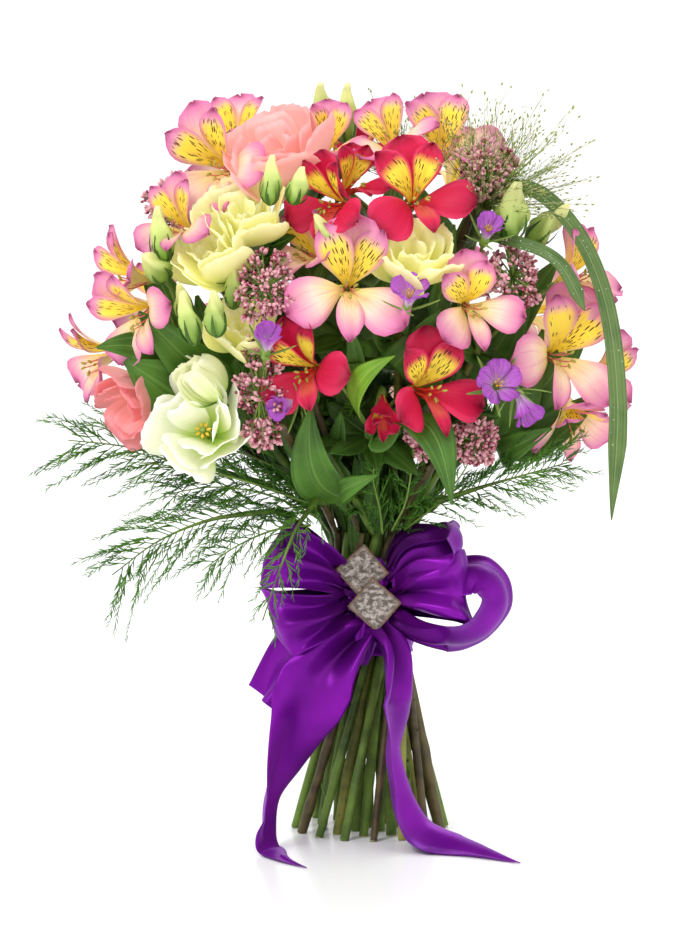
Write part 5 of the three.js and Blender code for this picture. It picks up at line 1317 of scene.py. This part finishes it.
ribbonWidth = 50
trim = {"up": 163, "reach": 17, "out": 36.8}  # the room of the bark squares on the knot
paints["satin"], tree = freshMaterial("ribbon_satin")
along, across, tone, shade = facts(tree, "along", "across", "tone", "ring")
threads = {0: times(tree, along, 60.0), 1: times(tree, across, 300.0), 2: tone}
weave = noise(tree, add(tree, "ShaderNodeCombineXYZ", threads).outputs[0], 4.0, 2.0)
cloud = noise(tree, objectPlace(tree), 22.0, 2.0)
colour = mixed(tree, between(tree, cloud, 0.35, 0.65), (0.4, 0.04, 0.52), (0.5, 0.08, 0.62))
# painted shade: the ring attribute darkens the purple near the knot, in the pleats' valleys and on the far side of the
# loops
colour = mixed(tree, shade, colour, (0.17, 0.0, 0.22))
hem = between(tree, maths(tree, "ABSOLUTE", across), 0.955, 0.975)
colour = mixed(tree, times(tree, hem, 0.4), colour, (0.3, 0.02, 0.42))
sheen = {"Sheen Weight": 0.08, "Sheen Roughness": 0.35, "Sheen Tint": rgba((0.8, 0.4, 1.0)), "Metallic": 0.35,
         "Anisotropic": 0.4, "Specular IOR Level": 0.5, "Specular Tint": rgba((0.86, 0.5, 1.0))}
finishSurface(tree, colour, 0.36, weave, 0.0001, 0.2, more=sheen)

strips = {
    "upper_left_loop": {
        "node": "ribbon_loops_left", "gathered": True, "pleats": 2.3, "ends": (0.34, 0.34),
        "points": [
            [-12, -33, 163], [-30, -50, 176], [-52, -55, 184], [-63, -46, 188], [-52, -36, 187], [-28, -35, 176],
            [-14, -33, 165]],
        "widths": [
            [0, 0, 1], [0.25, 0.2, 1], [0.35, 0.4, 0.9], [0.35, 0.45, 0.9], [0.3, 0.35, 0.9], [0.1, 0.2, 1],
            [0, 0, 1]]},
    "lower_left_loop": {
        "node": "ribbon_loops_left", "gathered": True, "pleats": 2.3, "ends": (0.34, 0.34),
        "points": [
            [-12, -35, 152], [-32, -56, 145], [-52, -60, 142], [-61, -50, 141], [-50, -38, 141], [-28, -35, 146],
            [-14, -34, 152]],
        "widths": [
            [0, 0, 1], [-0.2, 0, 1], [-0.38, 0.1, 0.92], [-0.42, 0.15, 0.9], [-0.35, 0.1, 0.9], [-0.1, 0, 1],
            [0, 0, 1]]},
    "small_left_flap": {
        "node": "ribbon_loops_left", "gathered": False, "pleats": 2.0, "ends": (0.34, 0.72),
        "points": [[-13, -33, 146], [-32, -34, 130], [-48, -37, 114], [-60, -38, 101], [-68, -38, 90]],
        "widths": [[-0.5, 0, 0.8], [-0.6, 0.1, 0.8], [-0.6, 0.3, 0.75], [-0.5, 0.6, 0.6], [-0.4, 0.75, 0.5]]},
    "upper_right_loop": {
        "node": "ribbon_loops_right", "gathered": True, "pleats": 2.3, "ends": (0.34, 0.34),
        "points": [
            [12, -34, 162], [31, -50, 181], [47, -51, 185], [57, -44, 192], [51, -36, 201], [40, -34, 197],
            [24, -33, 190], [13, -32, 172]],
        "widths": [
            [0, 0.4, 0.9], [0, 0.85, 0.5], [0, 0.9, 0.42], [0.1, 0.93, 0.3], [0.1, 0.96, 0.15], [0, 0.97, 0.1],
            [0, 0.9, 0.3], [0, 0.4, 0.9]]},
    "middle_right_loop": {
        "node": "ribbon_loops_right", "gathered": True, "pleats": 2.3, "ends": (0.34, 0.34),
        "points": [
            [12, -36, 158], [32, -58, 163], [52, -62, 165], [62, -50, 164], [52, -39, 162], [30, -36, 158],
            [14, -34, 156]],
        "widths": [
            [0, 0, 1], [-0.1, 0, 1], [-0.15, 0.2, 0.95], [-0.1, 0.3, 0.93], [0, 0.2, 0.95], [0, 0, 1], [0, 0, 1]]},
    "outer_right_loop": {
        "node": "ribbon_loops_right", "gathered": False, "pleats": 2.0, "ends": (0.34, 0.9),
        "points": [
            [12, -35, 146], [31, -46, 135], [47, -50, 131], [60, -50, 131], [73, -49, 137], [83, -46, 152],
            [81, -43, 165], [72, -41, 173], [60, -39, 173], [48, -37, 168]],
        "widths": [
            [0, 0.75, -0.65], [0, 0.87, -0.48], [0, 0.88, -0.48], [0.05, 0.88, -0.46], [0.28, 0.88, -0.36],
            [0.46, 0.88, -0.05], [0.36, 0.88, 0.28], [0.12, 0.88, 0.42], [0, 0.9, 0.42], [0, 0.9, 0.42]]},
    "left_tail": {
        "node": "ribbon_tails", "gathered": False, "pleats": 1.5, "ends": (0.34, 0.94), "taper": 2.3,
        "points": [
            [-2, -38, 138], [-16, -46, 127], [-29, -54, 112], [-39, -58, 93], [-47, -61, 76], [-56, -64, 54],
            [-64, -67, 30], [-65, -71, 12], [-63, -83, 1], [-55, -108, 0.9], [-39, -134, 0.9]],
        "widths": [
            [1, 0, -0.3], [0.9, 0, -0.4], [0.87, 0, -0.5], [0.85, 0.2, -0.45], [0.7, 0.65, -0.3], [0.45, 0.88, -0.2],
            [0.16, 0.98, -0.15], [0.2, 0.96, -0.15], [0.6, 0.8, -0.1], [0.85, 0.5, 0], [0.85, 0.5, 0]]},
    "right_tail": {
        "node": "ribbon_tails", "gathered": False, "pleats": 1.5, "ends": (0.34, 0.9), "taper": 5.2,
        "points": [
            [3, -38, 138], [14, -46, 124], [16, -54, 100], [16, -57, 85], [15, -59, 71], [14, -60, 59], [17, -62, 42],
            [22, -63, 23], [31, -66, 9], [49, -75, 2.5], [68, -91, 2], [93, -119, 0.9]],
        "widths": [
            [0.8, 0.6, 0], [0.5, 0.87, 0], [0.42, 0.91, 0], [0.36, 0.93, 0], [0.22, 0.97, 0], [0.14, 0.99, 0],
            [0.18, 0.98, 0], [0.28, 0.95, 0.1], [0.32, 0.93, 0.15], [0.35, 0.93, 0.12], [0.45, 0.89, 0.08],
            [0.6, 0.8, 0]]},
}


def foldHeight(wide, full, shape, us):  # how deep the folds are, so that the cloth keeps its full width
    low, high = 0.0, 40.0
    for _ in range(30):
        middle = (low + high) / 2
        length = np.sum(np.hypot(np.diff(us * wide), np.diff(middle * shape)))
        low, high = (middle, high) if length < 2 * full else (low, middle)
    return low


def strip(name, form):
    draw = random.Random(len(name) * 7)
    rows, columns = 90, 33
    ts, us = np.linspace(0, 1, rows), np.linspace(-1, 1, columns)
    path = smoothPath(form["points"], rows)
    tangent = slopes(path)
    sides = smoothPath(form["widths"], rows) + 1e-6
    gathered = form["gathered"]
    grid = np.zeros((rows, columns, 3))
    paintedShades = np.zeros((rows, columns))
    cutWidths = np.zeros(rows)
    opening = 1.5 if gathered else 2.6
    phase = draw.uniform(0, 6)
    for i, t in enumerate(ts):
        start = min(1.0, form["ends"][0] + opening * t)
        end = min(1.0, form["ends"][1] + opening * (1 - t)) if gathered else 1 - (1 - form["ends"][1]) * t
        full = ribbonWidth / 2
        if form.get("taper"):  # cut on the slant
            full *= min(1.0, max(0.03, (1 - t) * form["taper"]))
        cutWidths[i] = 2 * full
        wide = full * min(0.985, start, end)
        side = unit(sides[i])
        if not gathered:
            side = unit(side - tangent[i] * side.dot(tangent[i]))
        normal = unit(np.cross(side, tangent[i]))
        near = max(0.0, 1 - 2.2 * t) + (max(0.0, 1 - 2.2 * (1 - t)) if gathered else 0)
        pleats = 1.1 + (form["pleats"] - 1.1) * min(1.0, near)
        shape = np.sin(math.pi * pleats * us + phase * 0.3 + 1.5 * t)
        depth = foldHeight(wide, full, shape, us) if wide < full else 0.0
        farSideShade = 0.55 if gathered and t > 0.56 else 0  # painted shade: the far side of a loop is darker
        # painted shade: darker near the knot, in the pleats' valleys and on the far side of a loop
        paintedShades[i] = np.clip(0.75 * near**2 + 0.3 * near * shape + farSideShade, 0, 0.9)
        for j, u in enumerate(us):
            grid[i, j] = path[i] + side * u * wide + normal * depth * shape[j]
    grid[:, :, 2] = np.maximum(grid[:, :, 2], 0.6)
    beside = np.hypot(grid[:, :, 0], 0.8 * (grid[:, :, 2] - trim["up"])) - trim["reach"]
    nearest = -trim["out"] - 2 * np.maximum(0, beside)  # the folds stay behind the bark squares
    grid[:, :, 1] = np.maximum(grid[:, :, 1], nearest)
    clump = Clump()
    shell(clump, grid, 0.4, 0, draw.random(), np.tile(paintedShades.reshape(-1), 2), us, ts)
    piece = makePiece("ribbon_" + name, clump, ["satin"], form["node"])


for name, form in strips.items():
    strip(name, form)

clump = Clump()
band = {"centre": 142, "half": 25, "inner": [(117, 27.0), (145, 24.8), (167, 25.4)], "folds": 5}
rows, columns = 40, 96
grid = np.zeros((rows, columns + 1, 3))
for i, h in enumerate(np.linspace(-1, 1, rows)):
    z = band["centre"] + band["half"] * h
    base = np.interp(z, *zip(*band["inner"])) + 0.6
    for j in range(columns + 1):
        a = 2 * math.pi * (j % columns) / columns - math.pi / 2
        swell = 1.6 * math.sin(a) + 0.6 * math.sin(2 * a + 1)
        fold = 0.8 + 0.8 * math.sin(band["folds"] * math.pi * h + swell)
        grid[i, j] = polar(a, base + fold, z)
shell(clump, grid, 0.6, 0, 0.4, 0.0, np.linspace(-1, 1, columns + 1), np.linspace(0, 1, rows))

knotForm = {"centre": (0, -31.5, 158), "half": (13, 8.5, 24)}
rows, sides = 32, 60
verts, along = [], []
for i in range(rows):
    v = math.pi * (0.04 + 0.92 * i / (rows - 1))
    below = max(0.0, math.cos(v))
    girth = math.sin(v) ** 0.6
    for k in range(sides):
        a = 2 * math.pi * k / sides
        fold = 1 + 0.07 * math.sin(11 * a + 1.2 * math.cos(v) * 2) * math.sin(v)
        x = (knotForm["half"][0] - 3.5 * below) * girth * math.cos(a) * fold - 5 * below
        y = knotForm["half"][1] * girth * math.sin(a) * fold
        verts.append(vec(*knotForm["centre"]) + vec(x, y, -(knotForm["half"][2] + 23 * below) * math.cos(v)))
        along.append(i / rows)
clump.add(verts, ringFaces(rows, sides), 0, 0.5, along, 0.5)
makePiece("ribbon_band_and_pleated_knot", clump, ["satin"], "ribbon_band_and_knot")
print("ribbon made")

# Bark squares

paints["bark"], tree = freshMaterial("birch_bark")
slant = {"Vector": objectPlace(tree), "Scale": (1.0, 1.0, 1.5), "Rotation": (0.0, 0.7, 0.0)}
stretched = add(tree, "ShaderNodeMapping", slant).outputs["Vector"]
patch = noise(tree, stretched, 240.0, 8.0)
fleck = noise(tree, stretched, 800.0, 5.0)
colour = mixed(tree, between(tree, patch, 0.4, 0.62), (0.4, 0.37, 0.34), (0.72, 0.68, 0.65))
colour = mixed(tree, times(tree, between(tree, fleck, 0.5, 0.66), 0.7), colour, (0.24, 0.19, 0.16))
along, ring = facts(tree, "along", "ring")
worn = times(tree, between(tree, along, 0.72, 1.0), between(tree, patch, 0.35, 0.6))
colour = mixed(tree, maths(tree, "MAXIMUM", ring, worn), colour, (0.42, 0.28, 0.17))
finishSurface(tree, colour, 0.85, fleck, 0.0008)

barkSquares = [
    {"name": "bark_square_upper", "centre": [-5, -39.6, 173], "turn": 41, "lean": 3},
    {"name": "bark_square_lower", "centre": [3, -43.8, 152], "turn": 49, "lean": -2},
]
for index, square in enumerate(barkSquares):
    draw = random.Random(index + 5)
    clump = Clump()
    half, thick, per = 12.5, 3.5, 16
    outline = []
    for k in range(4 * per):
        edge, s = divmod(k, per)
        s = -1 + 2 * s / per
        corner = [(s, -1), (1, s), (-s, 1), (-1, -s)][edge]
        rough = 1 + draw.uniform(-0.014, 0.014)
        outline.append(vec(corner[0] * half * rough, corner[1] * half * rough, 0))
    outline = np.array(outline)
    # rings of the outline: share of its width, height, and how far out and how worn they are painted
    rings = [(share, thick / 2 + 0.25 * math.sin(9 * share + index), share, 0.0) for share in np.linspace(0.0, 0.97, 12)]
    rings += [(1.0, thick / 2 - 0.45, 1.0, 0.7), (1.0, 0, 1.0, 1.0), (1.0, -thick / 2 + 0.4, 1.0, 1.0),
              (0.97, -thick / 2, 1.0, 0.3), (0.0, -thick / 2, 0.0, 0.0)]
    count = len(outline)
    verts = []
    for share, height, _, _ in rings:
        layer = outline * max(share, 1e-3)
        ripple = np.sin(outline[:, 0] * 0.9 + outline[:, 1] * 0.5) * 0.18
        layer[:, 2] = height + (ripple if 0 < share < 1 else 0)
        verts.append(layer)
    faces = []
    for a in range(0, (len(rings) - 1) * count, count):
        for k in range(count):
            n = (k + 1) % count
            faces.append((a + k, a + count + k, a + count + n, a + n))
    faces += [tuple(range(count)), tuple(range(len(rings) * count - 1, (len(rings) - 1) * count - 1, -1))]
    place = placed(square["centre"], facing(square["lean"], 2), square["turn"])
    out, wear = (np.repeat([row[k] for row in rings], count) for k in (2, 3))
    clump.add(turned(np.concatenate(verts), place), faces, 0, 0.0, out, 0.5, wear)
    makePiece(square["name"] + "_sheet", clump, ["bark"], square["name"])
print("bark made")

for shape in shapes.values():
    bpy.data.objects.remove(shape)

# Studio

floorMaterial, tree = freshMaterial("studio_floor")
finishSurface(tree, (0.97, 0.97, 0.97, 1), 0.22, more={"Specular IOR Level": 0.3})
bow = [(1.2 + 1.5 * math.sin(a), 1.5 - 1.5 * math.cos(a)) for a in np.linspace(0.1, math.pi / 2, 14)]
sweep = [(-6.0, 0.0), (1.2, 0.0), *bow, (2.7, 5.0)]
mesh = bpy.data.meshes.new("studio_floor")
corners = [(x, y, z) for y, z in sweep for x in (-6, 6)]
mesh.from_pydata(corners, [], [(i, i + 1, i + 3, i + 2) for i in range(0, 2 * len(sweep) - 2, 2)])
mesh.polygons.foreach_set("use_smooth", [True] * len(mesh.polygons))
mesh.materials.append(floorMaterial)
newObject("studio_floor", mesh)

world = bpy.data.worlds.new("studio")
world.use_nodes = True
world.node_tree.nodes["Background"].inputs["Color"].default_value = (1, 1, 1, 1)
world.node_tree.nodes["Background"].inputs["Strength"].default_value = 1.06
bpy.context.scene.world = world


def aimed(thing, at, target):
    thing.location = at
    thing.rotation_euler = (Vector(target) - thing.location).to_track_quat("-Z", "Y").to_euler()


lamps = {
    "key_light": {"at": (-1.3, -1.7, 2.2), "size": 0.9, "power": 34},
    "fill_light": {"at": (1.8, -1.5, 1.0), "size": 1.6, "power": 8},
    "back_light": {"at": (0.6, 1.0, 1.6), "size": 1.0, "power": 8},
}
for name, lamp in lamps.items():
    light = bpy.data.lights.new(name, "AREA")
    light.size = lamp["size"]
    light.energy = lamp["power"]
    aimed(newObject(name, light), lamp["at"], (0, 0, 0.25))

camera = bpy.data.cameras.new("camera")
camera.lens = 119.4
camera.sensor_width = 36
view = newObject("camera", camera)
aimed(view, (0, -2.0, 0.39), (-0.013, 0, 0.2376))
bpy.context.scene.camera = view
bpy.context.scene.view_settings.view_transform = "Standard"
